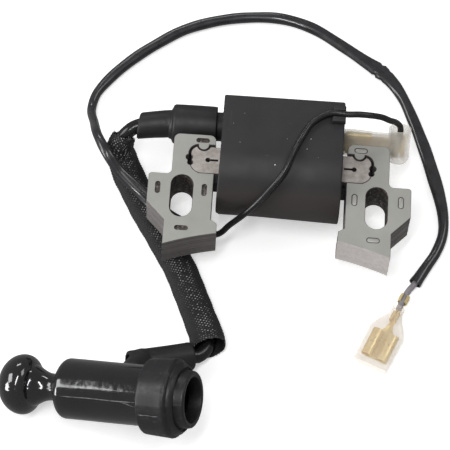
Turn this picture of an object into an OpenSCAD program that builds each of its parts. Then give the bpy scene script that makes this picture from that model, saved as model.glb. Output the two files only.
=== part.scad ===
// Small-engine ignition coil on a two-legged laminated core, with its high tension lead,
// spark plug cap and stop-switch wire. Millimetres.
// Origin: midway between the two mounting slots, on the core's back face.
// +X towards the stop-wire side, +Y away from the flywheel, +Z along the mounting bolts.

/* [Laminated core] */
// Distance between the centres of the two mounting slots
slot_pitch = 62; // [61.8:0.1:62.4]
// Width of a mounting slot, a clearance fit on an M6 bolt
slot_w = 7.1; // [6.6:0.1:7.4]
// End to end length of a mounting slot
slot_len = 14.9; // [12:0.1:15.5]
// Thickness of the stack of laminations
core_t = 12.5; // [12:0.1:12.7]
// Radius of the pole faces around the flywheel
pole_r = 99; // [90:1:110]

/* [Coil housing] */
// Width of the housing between the legs
case_w = 38.8; // [38:0.2:39]
// Radius of the housing's round lower half, about the core bar
case_r = 14.2; // [14.1:0.05:14.3]
// Height of the housing's flat top above the slot centres
case_top = 33.5; // [33:0.1:34]
// Thickness of the housing's walls
case_wall = 1.8; // [1.4:0.1:1.9]

/* [High tension lead] */
// Outside diameter of the high tension lead
lead_d = 4.6; // [4.4:0.1:4.6]
// Outside diameter of the rubber boot over the outlet tower
boot_d = 12.9; // [12:0.1:13.2]

/* [Stop wire] */
// Outside diameter of the stop wire
wire_d = 2; // [1.8:0.1:2]
// Wall thickness of the vinyl tubing over the stop wire
tubing_wall = 0.3; // [0.2:0.05:0.3]

/* [Spark plug cap] */
// Outside diameter of the cap's body
cap_d = 18.7; // [18.2:0.1:19]
// Outside diameter of the cap's rubber seal
seal_d = 24.3; // [23.6:0.1:24.6]
// Bore that seals on the spark plug's insulator
plug_bore_d = 14; // [13.6:0.1:14.2]
// Tilt of the cap's axis above the surface it rests on, in degrees
cap_tilt = 18; // [17.8:0.1:18.2]
// Heading of the cap's axis about +Z, in degrees
cap_heading = -9.4; // [-9.6:0.1:-9.2]

/* [Hidden] */
$fn = 64;
eps = 0.01;

// Laminated core
slot_x = slot_pitch / 2;
pole_y = -10.8;
bar_y0 = 8.5;
bar_y1 = 18.1;
bar_y = (bar_y0 + bar_y1) / 2;
bar_z = core_t / 2;
bar_end = 26.3;
bar_gap = 0.05;
dimple_l = 4.4;
dimple_w = 1.6;
dimple_deep = 0.5;

// Coil housing
case_back = -9;
case_front = bar_z + case_r;
case_rim_y = 5.5;
case_x = case_w / 2;
tower_y = 29.2;
tower_z = bar_z;
tower_r = 4.7;
tower_len = 10.6;
clip_y = 28.15;
clip_gap = wire_d + 0.1;
clip_h = 1.9;
clip_rib = 1.9;
clip_x0 = 15.5;
clip_x1 = 19.6;
lug_y0 = 6.8;
lug_t = 1.5;
lug_end = 21.1;
lug_z0 = 3.4;
lug_z1 = 9.6;

// Windings, as half sizes of rounded rectangles about the bar: y, z, corner radius
bobbin_in = [4.95, 6.4, 0.3];
bobbin_out = [5.75, 7.2, 1];
primary_out = [6.8, 8.25, 1.9];
primary_flange = [6.9, 8.35, 2];
second_in = [7.05, 8.5, 2.1];
second_out = [7.75, 9.2, 2.8];
second_wind = [8.7, 10.15, 4.2];
second_flange = [9, 10.45, 4.5];
bobbin_x = 17.3;
flange_t = 0.9;
sections = 6;
rib_t = 0.8;
fit = 0.05;

// Electronics
board_y = 24;
board_t = 1.2;

// Stop-wire connector on the housing's side, tilted about +X
flag_y = 27.7;
flag_z = 4.3;
flag_tilt = -34;
flag_x = 38;
flag_half_w = 4.7;
flag_half_t = 2.1;
flag_wall = 0.6;
barrel_r = 3.5;
barrel_z0 = -4.6;
barrel_len = 11;
barrel_bore_r = 2.85;
skirt_r = 2.8;
skirt_bore_r = 2.1;
blade_w = 6.3;
blade_t = 0.8;

// Spark plug cap, measured along its axis from the top of its knob
cap_pos = [-82.4, -62, -2];
cap_r = cap_d / 2;
seal_r = seal_d / 2;
plug_bore_r = plug_bore_d / 2;
knob_x = 7.7;
knob_r = 9.35;
neck_x = 16.8;
neck_r = 4.1;
body_x0 = 20.4;
body_x1 = 59.6;
cavity_x = 42;
cavity_r = 7.3;
clip_bore_r = 4.6;
clip_bore_x = 29;
seal_x0 = 49.5;
seal_x1 = 59.4;
seal_back_r = 11.5;
mouth_x = 64.1;
outlet_x = 39.6;
outlet_roll = -35;
outlet_r = 3.6;
outlet_end = 15;
outlet_bore_r = 2.2;
elbow_at = 19.2;
elbow_r = 4.7;
elbow_ball_r = 4.85;
outlet_collar_r = 5.3;
outlet_collar_end = 10.6;
hood_r = 4.5;
hood_len = 16.5;
hood_lip = 4.4;
hood_mouth_r = 3.4;
hood_mouth_deep = 1.4;

// Unit vectors of the cap's frame: along its axis, across, and over
cap_u = [cos(cap_tilt) * cos(cap_heading), cos(cap_tilt) * sin(cap_heading), sin(cap_tilt)];
cap_v = [-sin(cap_heading), cos(cap_heading), 0];
cap_w = cross(cap_u, cap_v);

// Blade receptacle, measured from the mouth of its cover towards the wire
socket_pos = [31.9, -46, -6.9];
socket_heading = 67;
socket_body = 13.6;
socket_neck = 20.6;
socket_end = 22.6;
socket_half_w = 6;
socket_half_t = 2.05;
socket_wall = 0.55;
neck_out_r = 2.05;
neck_bore_r = 1.9;
function socket_point(x) = socket_pos + x * [cos(socket_heading), sin(socket_heading), 0];

// Rubber boot: end of its wide part and radius of its narrow part
boot_step_x = -36;
boot_small_r = 4.55;
boot_chamber_r = 3.1;

// High tension lead: points of its centre line
lead_route = [
    [-26.2, 29.2, 6.25], [-36, 29.2, 6.25], [-46.9, 28.2, 5.15], [-50, 26.5, 4],
    [-52.5, 24, 1], [-52, 20.5, -2], [-49.5, 16, -5], [-47, 11.5, -6], [-42.5, 3.5, -6.3],
    [-36, -7, -6.3], [-30, -17, -6.3], [-22.5, -34, -6.3], [-20.5, -40, -6],
    [-19.5, -43, -6], [-20.5, -45.5, -5.5], [-22.5, -47.5, -5]
];
// Braided sleeve: centre, half width, half thickness
sleeve_route = [
    [[-51.5, 25.5, 2.5], 4, 3.6], [[-52.5, 22.5, 0], 4.6, 3.6], [[-51.5, 20, -3], 5, 3.4],
    [[-49.5, 16, -5], 5.3, 3.2], [[-47, 11.5, -6], 5.3, 2.9], [[-42.5, 3.5, -6.3], 5.3, 2.7],
    [[-36, -7, -6.3], 5.3, 2.7], [[-30, -17, -6.3], 5.4, 2.7], [[-22.5, -34, -6.3], 5.5, 2.7],
    [[-20, -40, -6], 5.7, 2.9], [[-19.5, -44, -5.5], 5.9, 3.3]
];
sleeve_wall = 0.25;
// Stop wire between the flag terminal and the vinyl tubing
wire_front = [
    [36.5, 31.5, 12.5], [34, 30.5, 15.5], [31.5, 30, 18], [27.5, 29, 20.5], [23.5, 28.5, 21.5],
    [20.5, 28.2, 21.6], [14.5, 28.2, 21.6], [9, 24.5, 21.5], [6, 19, 21.5], [3.5, 13, 22],
    [1, 6.5, 20.5], [-4, 1, 16], [-9.5, -2.5, 9.5], [-15, -4.5, 3], [-19, -6, -1.5]
];
// Vinyl tubing: centre, half width, half thickness; the wire runs inside it
tubing_route = [
    [[-26, -5, -2.2], 2.4, 1.35], [[-36, 0.5, -2.2], 2.4, 1.35], [[-42, 5.5, -2.2], 2.4, 1.35],
    [[-47, 9.5, -1], 2.2, 1.4], [[-52, 13.5, 1], 2, 1.5], [[-56.5, 18.5, 4], 1.8, 1.6],
    [[-60, 25, 3], 1.6, 1.7], [[-62, 33, -3], 1.5, 1.7], [[-63.5, 40, -7], 1.5, 1.7],
    [[-62.5, 46, -7.3], 1.6, 1.7], [[-59, 52, -7.3], 1.8, 1.7], [[-53, 59, -7.3], 1.9, 1.7],
    [[-44, 67, -7.3], 1.9, 1.7], [[-35, 73.5, -7.3], 1.9, 1.7], [[-25, 77.5, -7.3], 1.9, 1.7],
    [[-14, 80, -7.3], 1.9, 1.7], [[-3, 80.5, -7.3], 2, 1.7], [[8, 77.5, -7.3], 2, 1.7],
    [[19, 71, -7.3], 2, 1.6], [[27, 65.5, -7.3], 2.3, 1.5], [[32, 62, -7.3], 2.7, 1.4],
    [[36.5, 57.5, -7.3], 2.2, 1.5], [[40, 52, -7.3], 1.9, 1.65], [[43.5, 44, -7.3], 2, 1.6],
    [[47, 34.5, -7.3], 2.2, 1.5], [[50, 25.5, -7.3], 2.3, 1.5], [[52.5, 17, -7.3], 2.2, 1.5],
    [[54, 9, -7.3], 1.8, 1.7], [[54, 2, -7.3], 1.7, 1.7], [[52, -4.5, -7.3], 1.7, 1.7],
    [[49, -10, -7.3], 1.8, 1.7], [[45.5, -16, -7.3], 1.9, 1.7]
];
wire_tail = [socket_point(28.6), socket_point(22)];

// ---- Sweeping a tube along a list of points ----

function unit(v) = v / norm(v);
function point_at(p, i) = p[max(0, min(len(p) - 1, i))];
function heading_at(p, i) = unit(point_at(p, i + 1) - point_at(p, i - 1));
function side_at(p, i) = unit(cross([0, 0, 1], heading_at(p, i)));
function over_at(p, i) = cross(heading_at(p, i), side_at(p, i));
function ring_at(p, i, a, b, sides) = [
    for (k = [0:sides - 1])
        p[i] + a * cos((k + 0.5) * 360 / sides) * side_at(p, i)
             + b * sin((k + 0.5) * 360 / sides) * over_at(p, i)
];
function rings(p, a, b, sides) = [
    for (i = [0:len(p) - 1]) each ring_at(p, i, a[i], b[i], sides)
];
// Side faces between rings i and i + 1, as triangles; flip turns them inside out
function walls(count, sides, start, flip) = [
    for (i = [0:count - 2])
    for (k = [0:sides - 1])
    let (n = (k + 1) % sides, r0 = start + i * sides, r1 = r0 + sides)
    each flip
        ? [[r0 + k, r1 + n, r1 + k], [r0 + k, r0 + n, r1 + n]]
        : [[r0 + k, r1 + k, r1 + n], [r0 + k, r1 + n, r0 + n]]
];
function fill(list, count) = [for (i = [1:count]) list];

// A solid round or flattened cord
module cord(p, a, b, sides) {
    last = (len(p) - 1) * sides;
    polyhedron(
        rings(p, a, b, sides),
        concat(
            walls(len(p), sides, 0, false),
            [[for (k = [0:sides - 1]) k]],
            [[for (k = [sides - 1:-1:0]) last + k]]
        )
    );
}

// An open tube with a wall
module hollow_cord(p, a, b, wall, sides) {
    total = len(p) * sides;
    last = total - sides;
    thin_a = [for (v = a) v - wall];
    thin_b = [for (v = b) v - wall];
    polyhedron(
        concat(rings(p, a, b, sides), rings(p, thin_a, thin_b, sides)),
        concat(
            walls(len(p), sides, 0, false),
            walls(len(p), sides, total, true),
            [for (k = [0:sides - 1]) let (n = (k + 1) % sides)
                each [[k, n, total + n], [k, total + n, total + k]]],
            [for (k = [0:sides - 1]) let (n = (k + 1) % sides)
                each [[last + k, total + last + n, last + n],
                      [last + k, total + last + k, total + last + n]]]
        )
    );
}

// ---- Helpers ----

// Extrudes a y, z profile along X
module along_x(x0, x1) {
    translate([x0, 0, 0]) rotate([90, 0, 90]) linear_extrude(x1 - x0) children();
}

// Rounded rectangle from half sizes and corner radius, centred
module round_rect(half) {
    r = half[2];
    square([2 * half[0], 2 * (half[1] - r)], center = true);
    square([2 * (half[0] - r), 2 * half[1]], center = true);
    for (sy = [-1, 1])
        for (sz = [-1, 1])
            translate([sy * (half[0] - r), sz * (half[1] - r)]) circle(r);
}

module around_bar(x0, x1, outer, inner) {
    along_x(x0, x1) translate([bar_y, bar_z]) difference() {
        round_rect(outer);
        round_rect(inner);
    }
}

// Cylinder along +X from x0 to x1
module rod_x(r, x0, x1) {
    translate([x0, 0, 0]) rotate([0, 90, 0]) cylinder(r = r, h = x1 - x0);
}

// Cuts a square corner at the origin back to a radius; the corner points towards +x, +y
module corner_cut(r) {
    difference() {
        translate([-r, -r]) square(r + eps);
        translate([-r, -r]) circle(r);
    }
}

module oblong(l, w) {
    square([l - w, w], center = true);
    for (s = [-1, 1]) translate([s * (l - w) / 2, 0]) circle(w / 2);
}

// ---- Laminated core ----

// Head of the bar that locks into a leg
module bar_head(grow, top_gap) {
    translate([0, bar_y0 - grow]) square([bar_end, bar_y1 - bar_y0 + grow + top_gap]);
    translate([bar_end, 15.5]) circle(2.6 + top_gap);
    translate([bar_end - 1.1, bar_y0 + 3.8]) circle(3.8 + grow);
}

module lock_gap() {
    translate([29.4, 14]) circle(1.1);
    translate([29, 12.1]) circle(0.9);
    translate([29.2, 13]) square([1.2, 2], center = true);
}

module leg_profile() {
    difference() {
        translate([slot_x, 0]) difference() {
            union() {
                polygon([
                    [-9.8, 22.4], [-9.8, -7.9], [-11.8, -9.1], [-12.1, -20], [4.9, -20],
                    [4.9, -8.9], [10.9, -2.6], [10.9, 7.7], [3.7, 7.7], [3.7, 22.4]
                ]);
                translate([3.7, 7.7]) difference() {
                    square(1.6);
                    translate([1.6, 1.6]) circle(1.6);
                }
            }
            translate([3.7, 22.4]) corner_cut(2);
            translate([-9.8, 22.4]) mirror([1, 0]) corner_cut(2);
            translate([10.9, 7.7]) corner_cut(1);
            rotate(90) oblong(slot_len, slot_w);
        }
        translate([0, pole_y - pole_r]) circle(pole_r, $fn = 360);
        difference() {
            union() {
                bar_head(bar_gap, 0.8);
                lock_gap();
            }
            translate([25, 18.7]) circle(1.7);
        }
    }
}

module leg_dimples(grow) {
    translate([25.4, 20.3]) oblong(dimple_l + grow, dimple_w + grow);
    for (x = [-7.1, 7.7])
        translate([slot_x + x, 2.4]) rotate(90) oblong(dimple_l + grow, dimple_w + grow);
    translate([slot_x - 0.7, -11.5]) oblong(dimple_l + grow, dimple_w + grow);
}

module core_leg_left() {
    color("#a6a69e") mirror([1, 0, 0]) difference() {
        linear_extrude(core_t) leg_profile();
        translate([0, 0, core_t - dimple_deep]) linear_extrude(1) leg_dimples(0);
    }
}

module core_leg_right() {
    color("#a6a69e") difference() {
        linear_extrude(core_t) leg_profile();
        translate([0, 0, core_t - dimple_deep / 2]) linear_extrude(1) difference() {
            leg_dimples(0);
            leg_dimples(-0.5);
        }
    }
}

module core_bar() {
    color("#9d9890") linear_extrude(core_t) difference() {
        for (s = [0, 1]) mirror([s, 0]) bar_head(0, 0);
        for (s = [0, 1]) mirror([s, 0]) {
            translate([25, 18.7]) circle(2.2);
            translate([23.4, 13.3]) circle(0.7);
            translate([20.2, 13.3 - 0.25]) square([3.2, 0.5]);
            lock_gap();
        }
    }
}

// ---- Housing and what is sealed in it ----

module case_profile(inset) {
    translate([bar_y, bar_z]) circle(case_r - inset, $fn = 96);
    translate([bar_y, case_back]) square([case_top - bar_y - inset, case_front - inset - case_back]);
    translate([case_rim_y + inset, case_back]) square([bar_y - case_rim_y - inset, 7.5 - inset]);
}

module flag_frame() {
    translate([0, flag_y, flag_z]) rotate([flag_tilt, 0, 0]) children();
}

module tab_hole(grow) {
    flag_frame() translate([case_x - 3, -(blade_t + grow) / 2, -(blade_w + grow) / 2])
        cube([4, blade_t + grow, blade_w + grow]);
}

module coil_housing() {
    color("#2b2b2d") {
        difference() {
            union() {
                along_x(-case_x, case_x) case_profile(0);
                translate([0, tower_y, tower_z]) rod_x(tower_r, -case_x - tower_len, -case_x + 1);
            }
            along_x(case_wall - case_x, case_x - case_wall) case_profile(case_wall);
            translate([0, 0, case_back - 1])
                translate([case_wall - case_x, case_rim_y + case_wall, 0])
                cube([case_w - 2 * case_wall, case_top - case_rim_y - 2 * case_wall, 2]);
            translate([-case_x - 1, bar_y0 - 0.2, -0.2]) cube([case_w + 2, 10, core_t + 0.4]);
            translate([-case_x - 1, lug_y0 - 0.1, lug_z0 - 0.1])
                cube([case_w + 2, 2, lug_z1 - lug_z0 + 0.2]);
            translate([0, tower_y, tower_z]) {
                rod_x(lead_d / 2 + 0.15, -case_x - tower_len - 1, -25.9);
                rod_x(1.05, -26, -case_x + case_wall + 1);
            }
            tab_hole(0.1);
        }
        for (s = [-1, 1])
            translate([clip_x0, clip_y + s * (clip_gap + clip_rib) / 2 - clip_rib / 2,
                       case_front - 0.5])
                cube([clip_x1 - clip_x0, clip_rib, clip_h + 0.5]);
    }
}

module electronics_space() {
    translate([-6, board_y - 0.05, -6.5]) cube([23.6, board_t + 0.1, 24]);
}

module potting_compound() {
    color("#1d1c1c") difference() {
        along_x(case_wall + fit - case_x, case_x - case_wall - fit)
            case_profile(case_wall + fit);
        translate([-50, -50, case_back - 10]) cube([100, 100, 10.6]);
        along_x(-bobbin_x - 0.2, bobbin_x + 0.4) translate([bar_y, bar_z])
            round_rect(second_flange + [fit, fit, fit]);
        translate([-30, bar_y0 - 0.3, -0.3]) cube([60, bar_y1 - bar_y0 + 0.6, core_t + 0.6]);
        translate([-30, lug_y0 - 0.2, lug_z0 - 0.2]) cube([60, 3, lug_z1 - lug_z0 + 0.4]);
        translate([17.1, bar_y1, 8.8]) cube([1, 8, 3.4]);
        translate([14.8, 25, 8.8]) cube([3, 0.8, 3.4]);
        electronics_space();
        translate([-3.2, 25, 2.3]) cube([10.4, 5.4, 12]);
        component_spaces(0.1);
        translate([0, tower_y, tower_z]) rod_x(1.3, -19, -9.9);
        translate([-12, 22.4, tower_z]) rotate([-90, 0, 0]) cylinder(r = 1.1, h = 7);
        flag_frame() translate([13.9, -0.5, -3.3]) cube([5, 1, 6.6]);
    }
}

module primary_bobbin() {
    color("#1b1b1b") {
        around_bar(-bobbin_x, bobbin_x, bobbin_out, bobbin_in);
        around_bar(-bobbin_x, flange_t - bobbin_x, primary_flange, bobbin_in);
        around_bar(bobbin_x - flange_t, bobbin_x, primary_flange, bobbin_in);
        for (s = [0, 1]) mirror([s, 0, 0])
            translate([bobbin_x - flange_t, lug_y0, lug_z0])
                cube([lug_end - bobbin_x + flange_t, lug_t, lug_z1 - lug_z0]);
    }
}

module primary_winding() {
    color("#b5722f")
        around_bar(flange_t + fit - bobbin_x, bobbin_x - flange_t - fit,
                   primary_out, bobbin_out + [fit, fit, fit]);
}

section_step = (2 * bobbin_x - rib_t) / sections;

module secondary_bobbin() {
    color("#e8e2d0") {
        around_bar(-bobbin_x, bobbin_x, second_out, second_in);
        for (i = [0:sections])
            around_bar(i * section_step - bobbin_x, i * section_step - bobbin_x + rib_t,
                       second_flange, second_in);
    }
}

module secondary_winding() {
    color("#a8602a") for (i = [0:sections - 1])
        around_bar(i * section_step - bobbin_x + rib_t + fit,
                   (i + 1) * section_step - bobbin_x - fit,
                   second_wind, second_out + [fit, fit, fit]);
}

module circuit_board() {
    color("#2f5a3a") translate([-5, board_y, -6]) cube([22, board_t, 23]);
}

module power_transistor() {
    color("#222222") translate([-3, board_y + board_t, 2.5]) {
        cube([10, 4.5, 9]);
        translate([0, 0, 9]) cube([10, 1.3, 2.4]);
    }
}

// Each row: x, z, radius, height of a part standing on the board
component_list = [[9.5, 14.5, 1.6, 5], [13.5, 14.5, 1.2, 3.4], [3, -3.6, 1.9, 4.6], [9, -3.6, 1.2, 3]];

module component_spaces(grow) {
    for (c = component_list)
        translate([c[0], board_y + board_t - grow, c[1]]) rotate([-90, 0, 0])
            cylinder(r = c[2] + grow, h = c[3] + 2 * grow);
}

module board_components() {
    color("#8a6a3a") component_spaces(0);
}

module ground_strip() {
    color("#b8a060") {
        translate([17.34, bar_y1 + 0.03, 9]) cube([0.22, 7.3, 3]);
        translate([15, board_y + board_t, 9]) cube([2.56, 0.23, 3]);
    }
}

module ht_tower_pin() {
    color("#c9a24a") {
        translate([0, tower_y, tower_z]) {
            rod_x(0.95, -25.7, -10);
            rod_x(1.2, -17.5, -10);
        }
        translate([-12, 22.5, tower_z]) rotate([-90, 0, 0])
            cylinder(r = 1, h = tower_y - 22.5);
    }
}

module primary_tab() {
    color("#c9b27a") flag_frame() difference() {
        translate([14, -blade_t / 2, -blade_w / 2]) cube([13.4, blade_t, blade_w]);
        translate([24.6, 5, 0]) rotate([90, 0, 0]) cylinder(r = 0.9, h = 10);
    }
}

// ---- High tension lead ----

boot_bend = [boot_step_x, tower_y, tower_z];
boot_end = lead_route[2];
droop = boot_end - boot_bend;
droop_turn = atan2(droop[1], -droop[0]);
droop_tilt = asin(droop[2] / norm(droop));

// Local +X runs from the boot's step towards its small end
module boot_frame() {
    translate(boot_bend) rotate([0, -droop_tilt, 180 - droop_turn]) children();
}

module ht_boot() {
    color("#242426") difference() {
        union() {
            translate([0, tower_y, tower_z]) rod_x(boot_d / 2, boot_step_x, -case_x - 2);
            boot_frame() rod_x(boot_small_r, -3, norm(droop));
        }
        translate([0, tower_y, tower_z]) {
            rod_x(tower_r + 0.06, -case_x - tower_len - 0.1, 0);
            rod_x(boot_chamber_r, boot_step_x - 0.5, 0);
        }
        boot_frame() rod_x(lead_d / 2 + 0.1, -1, norm(droop) + 1);
    }
}

lead_points = concat(lead_route, [hood_at(hood_len), hood_at(4), hood_at(0),
                                  cap_point(outlet_at(elbow_at - 3.5))]);

module ht_lead() {
    n = len(lead_points);
    color("#161617") cord(lead_points, fill(lead_d / 2, n), fill(lead_d / 2, n), 10);
}

module braided_sleeve() {
    color("#2a2a2c") hollow_cord(
        [for (s = sleeve_route) s[0]], [for (s = sleeve_route) s[1]],
        [for (s = sleeve_route) s[2]], sleeve_wall, 12);
}

// ---- Spark plug cap ----

function cap_point(q) = cap_pos + q[0] * cap_u + q[1] * cap_v + q[2] * cap_w;
function outlet_at(r) = [outlet_x, r * cos(outlet_roll), r * sin(outlet_roll)];
// Direction of the outlet's hood in the cap's frame, from the elbow towards the lead
function hood_dir() = unit([0.73, 0.47, -0.5]);
function hood_at(d) = cap_point(outlet_at(elbow_at) + d * hood_dir());

module cap_frame() {
    translate(cap_pos) rotate([0, -cap_tilt, cap_heading]) children();
}

module outlet_frame() {
    translate([outlet_x, 0, 0]) rotate([outlet_roll, 0, 0]) rotate([-90, 0, 0]) children();
}

// Half of the outline of a turned part: x along the axis, y the radius
module turned() {
    rotate([0, 90, 0]) rotate([0, 0, 90]) mirror([1, 0, 0]) rotate_extrude($fn = 72)
        rotate(-90) mirror([1, 0]) children();
}

knob_points = concat(
    [for (a = [0:7.5:90]) [knob_x * (1 - cos(a)), knob_r * sin(a)]],
    [for (a = [15:15:75]) [knob_x + 4.2 * sin(a) * 0.9, knob_r - 3.4 * (1 - cos(a))]],
    [[12.2, 6.3], [13.2, 5.7], [14.2, 5.2], [15, 4.85]],
    [for (a = [-60:20:80]) [neck_x + 1 + 2.4 * sin(a), neck_r + 1.1 * (1 - cos(a))]]
);

module plug_cap_body() {
    color("#0c0c0d") cap_frame() difference() {
        union() {
            turned() polygon(concat([[0, 0]], knob_points, [[body_x0 + 1, 5.2], [body_x0 + 1, 0]]));
            turned() polygon([[body_x0, 0], [body_x0, 5.2], [body_x0 + 0.2, cap_r - 2.2],
                              [body_x0 + 0.7, cap_r - 1.1], [body_x0 + 1.6, cap_r - 0.3],
                              [body_x0 + 2.8, cap_r], [body_x1, cap_r], [body_x1, 0]]);
            outlet_frame() {
                cylinder(r = outlet_r, h = outlet_end);
                cylinder(r = outlet_collar_r, h = outlet_collar_end);
            }
        }
        rod_x(cavity_r, cavity_x, body_x1 + 1);
        rod_x(clip_bore_r, clip_bore_x, cavity_x + 1);
        outlet_frame() cylinder(r = outlet_bore_r, h = outlet_end + 1);
    }
}

module plug_cap_seal() {
    color("#232325") cap_frame() turned() polygon([
        [seal_x0, cap_r + fit], [seal_x0, seal_back_r - 0.4], [seal_x0 + 0.4, seal_back_r],
        [seal_x1, seal_r], [seal_x1 + 1.6, seal_r - 1.6], [seal_x1 + 1.9, 10.1],
        [seal_x1 + 1.2, 9.7], [seal_x1 + 1.2, 9.2], [seal_x1 + 2, 8.8],
        [mouth_x - 0.6, 8.65], [mouth_x, 8.1], [mouth_x, plug_bore_r],
        [body_x1 + 0.1, plug_bore_r], [body_x1 + 0.1, cap_r + fit]
    ]);
}

// Direction of the hood in the cap's frame as two turns
hood_turn = atan2(hood_dir()[1], hood_dir()[0]);
hood_rise = asin(hood_dir()[2]);

module hood_frame() {
    translate(outlet_at(elbow_at)) rotate([0, -hood_rise, hood_turn]) children();
}

module plug_cap_outlet_boot() {
    color("#1c1c1e") cap_frame() difference() {
        union() {
            outlet_frame() translate([0, 0, outlet_collar_end + 0.4])
                cylinder(r = elbow_r, h = elbow_at - outlet_collar_end - 0.4);
            translate(outlet_at(elbow_at)) sphere(elbow_ball_r);
            hood_frame() rod_x(hood_r, -hood_lip, hood_len);
        }
        outlet_frame() translate([0, 0, 10]) cylinder(r = outlet_r + fit, h = outlet_end - 9.9);
        outlet_frame() cylinder(r = lead_d / 2 + 0.1, h = elbow_at);
        translate(outlet_at(elbow_at)) sphere(lead_d / 2 + 0.25);
        hood_frame() rod_x(lead_d / 2 + 0.1, 0, hood_len + 1);
        hood_frame() rod_x(hood_mouth_r, -hood_lip - 1, hood_mouth_deep - hood_lip);
    }
}

module plug_clip() {
    color("#b9bcc0") cap_frame() difference() {
        rod_x(4.3, 31, 41.4);
        rod_x(3.2, 32, 42);
        for (a = [0, 60, 120]) translate([33.5, 0, 0]) rotate([a, 0, 0])
            translate([0, -5, -0.5]) cube([9, 10, 1]);
    }
}

module cap_spring() {
    color("#9da0a4") cap_frame() outlet_frame() for (i = [0:3])
        translate([0, 0, 5 + i * 0.75]) rotate_extrude() translate([1.5, 0]) circle(0.28, $fn = 16);
}

module cap_resistor() {
    color("#d8cdb4") cap_frame() outlet_frame() {
        translate([0, 0, 7.7]) cylinder(r = 1.9, h = 4);
        translate([0, 0, 8.3]) cylinder(r = 2.05, h = 2.8);
    }
}

module lead_screw() {
    color("#c9a24a") cap_frame() outlet_frame() {
        translate([0, 0, 11.75]) cylinder(r = 1.9, h = 0.9);
        translate([0, 0, 12.6]) cylinder(r = 1, h = 3);
    }
}

// ---- Stop wire ----

flag_entry = [flag_x, flag_y, flag_z] + 6.5 * [0, sin(-flag_tilt), cos(flag_tilt)];
wire_start = [flag_x, flag_y, flag_z] + 1.2 * [0, sin(-flag_tilt), cos(flag_tilt)];
tubing_centre = [for (s = tubing_route) s[0]];
tubing_a = [for (s = tubing_route) s[1]];
tubing_b = [for (s = tubing_route) s[2]];
wire_points = concat([wire_start, flag_entry], wire_front, tubing_centre, wire_tail);

module stop_wire() {
    n = len(wire_points);
    color("#222224") cord(wire_points, fill(wire_d / 2, n), fill(wire_d / 2, n), 8);
}

module wire_tubing() {
    color("#2c2c30") hollow_cord(tubing_centre, tubing_a, tubing_b, tubing_wall, 10);
}

module flag_cover() {
    color([0.93, 0.9, 0.84, 0.55]) flag_frame() difference() {
        union() {
            along_x(20.2, flag_x) round_rect([flag_half_t, flag_half_w, 1.6]);
            translate([flag_x, 0, barrel_z0]) cylinder(r = barrel_r, h = barrel_len);
            translate([flag_x, 0, barrel_z0 - 1]) cylinder(r = skirt_r, h = 1.1);
        }
        along_x(19, flag_x - 1.5) round_rect([flag_half_t - flag_wall, flag_half_w - flag_wall, 0.5]);
        translate([flag_x, 0, barrel_z0 + flag_wall]) cylinder(r = barrel_bore_r, h = barrel_len);
        translate([flag_x, 0, barrel_z0 - 2]) cylinder(r = skirt_bore_r, h = 4);
    }
}

module flag_terminal() {
    color("#c9b27a") flag_frame() {
        difference() {
            translate([20.9, -1.3, -3.75]) cube([8.6, 2.55, 7.5]);
            translate([20, -0.85, -3.3]) cube([8.9, 1.4, 6.6]);
            translate([20, -2, -2]) cube([9.1, 1.3, 4]);
        }
        translate([29.4, 0.9, -2]) cube([flag_x - 30.4, 0.4, 4]);
        difference() {
            translate([flag_x, 0, -3.4]) cylinder(r = 1.7, h = 6.4);
            translate([flag_x, 0, -4]) cylinder(r = 1.15, h = 8);
            translate([flag_x - 0.4, -3, -4]) cube([0.8, 3, 8]);
        }
    }
}

module socket_frame() {
    translate(socket_pos) rotate([0, 0, socket_heading]) children();
}

module blade_receptacle() {
    color("#d9b35a") socket_frame() {
        difference() {
            translate([3.2, -3.7, -1.3]) cube([9.6, 7.4, 2.5]);
            translate([3, -3.2, -0.85]) cube([10, 6.4, 1.6]);
            translate([3, -1.3, 0]) cube([10, 2.6, 2]);
        }
        translate([12.7, -1.9, -1.3]) cube([3.4, 3.8, 0.4]);
        translate([16, -0.8, -1.45]) cube([8.8, 1.6, 0.42]);
        difference() {
            rod_x(1.45, 17.4, 20.6);
            rod_x(0.8, 17, 21);
            translate([17, -0.3, 0]) cube([4, 0.6, 2]);
        }
        difference() {
            rod_x(1.6, 24.6, 27.4);
            rod_x(1.12, 24, 28);
            translate([24, -0.35, 0]) cube([4, 0.7, 2]);
        }
    }
}

module cover_section(x0, x1, half) {
    along_x(x0, x1) round_rect(half);
}

module receptacle_cover() {
    color([0.95, 0.92, 0.84, 0.45]) socket_frame() difference() {
        union() {
            cover_section(0, socket_body, [socket_half_w, socket_half_t, 1.5]);
            hull() {
                cover_section(socket_body - 0.1, socket_body, [socket_half_w, socket_half_t, 1.5]);
                rod_x(neck_out_r, socket_neck, socket_neck + 0.1);
            }
            rod_x(neck_out_r, socket_neck, socket_end);
        }
        cover_section(-1, socket_body - 0.5,
                      [socket_half_w - socket_wall, socket_half_t - socket_wall, 1]);
        hull() {
            cover_section(socket_body - 0.6, socket_body - 0.5,
                          [socket_half_w - socket_wall, socket_half_t - socket_wall, 1]);
            rod_x(neck_bore_r, socket_neck - 0.4, socket_neck - 0.3);
        }
        rod_x(neck_bore_r, socket_neck - 1, socket_end + 1);
    }
}

core_leg_left();
core_leg_right();
core_bar();
coil_housing();
potting_compound();
primary_bobbin();
primary_winding();
secondary_bobbin();
secondary_winding();
circuit_board();
power_transistor();
board_components();
ground_strip();
ht_tower_pin();
primary_tab();
ht_boot();
ht_lead();
braided_sleeve();
plug_cap_body();
plug_cap_seal();
plug_cap_outlet_boot();
plug_clip();
cap_spring();
cap_resistor();
lead_screw();
stop_wire();
wire_tubing();
flag_cover();
flag_terminal();
blade_receptacle();
receptacle_cover();
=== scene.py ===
import math
import random

import bmesh
import bpy
import numpy as np
from mathutils import Matrix, Vector
from mathutils.geometry import tessellate_polygon


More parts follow.
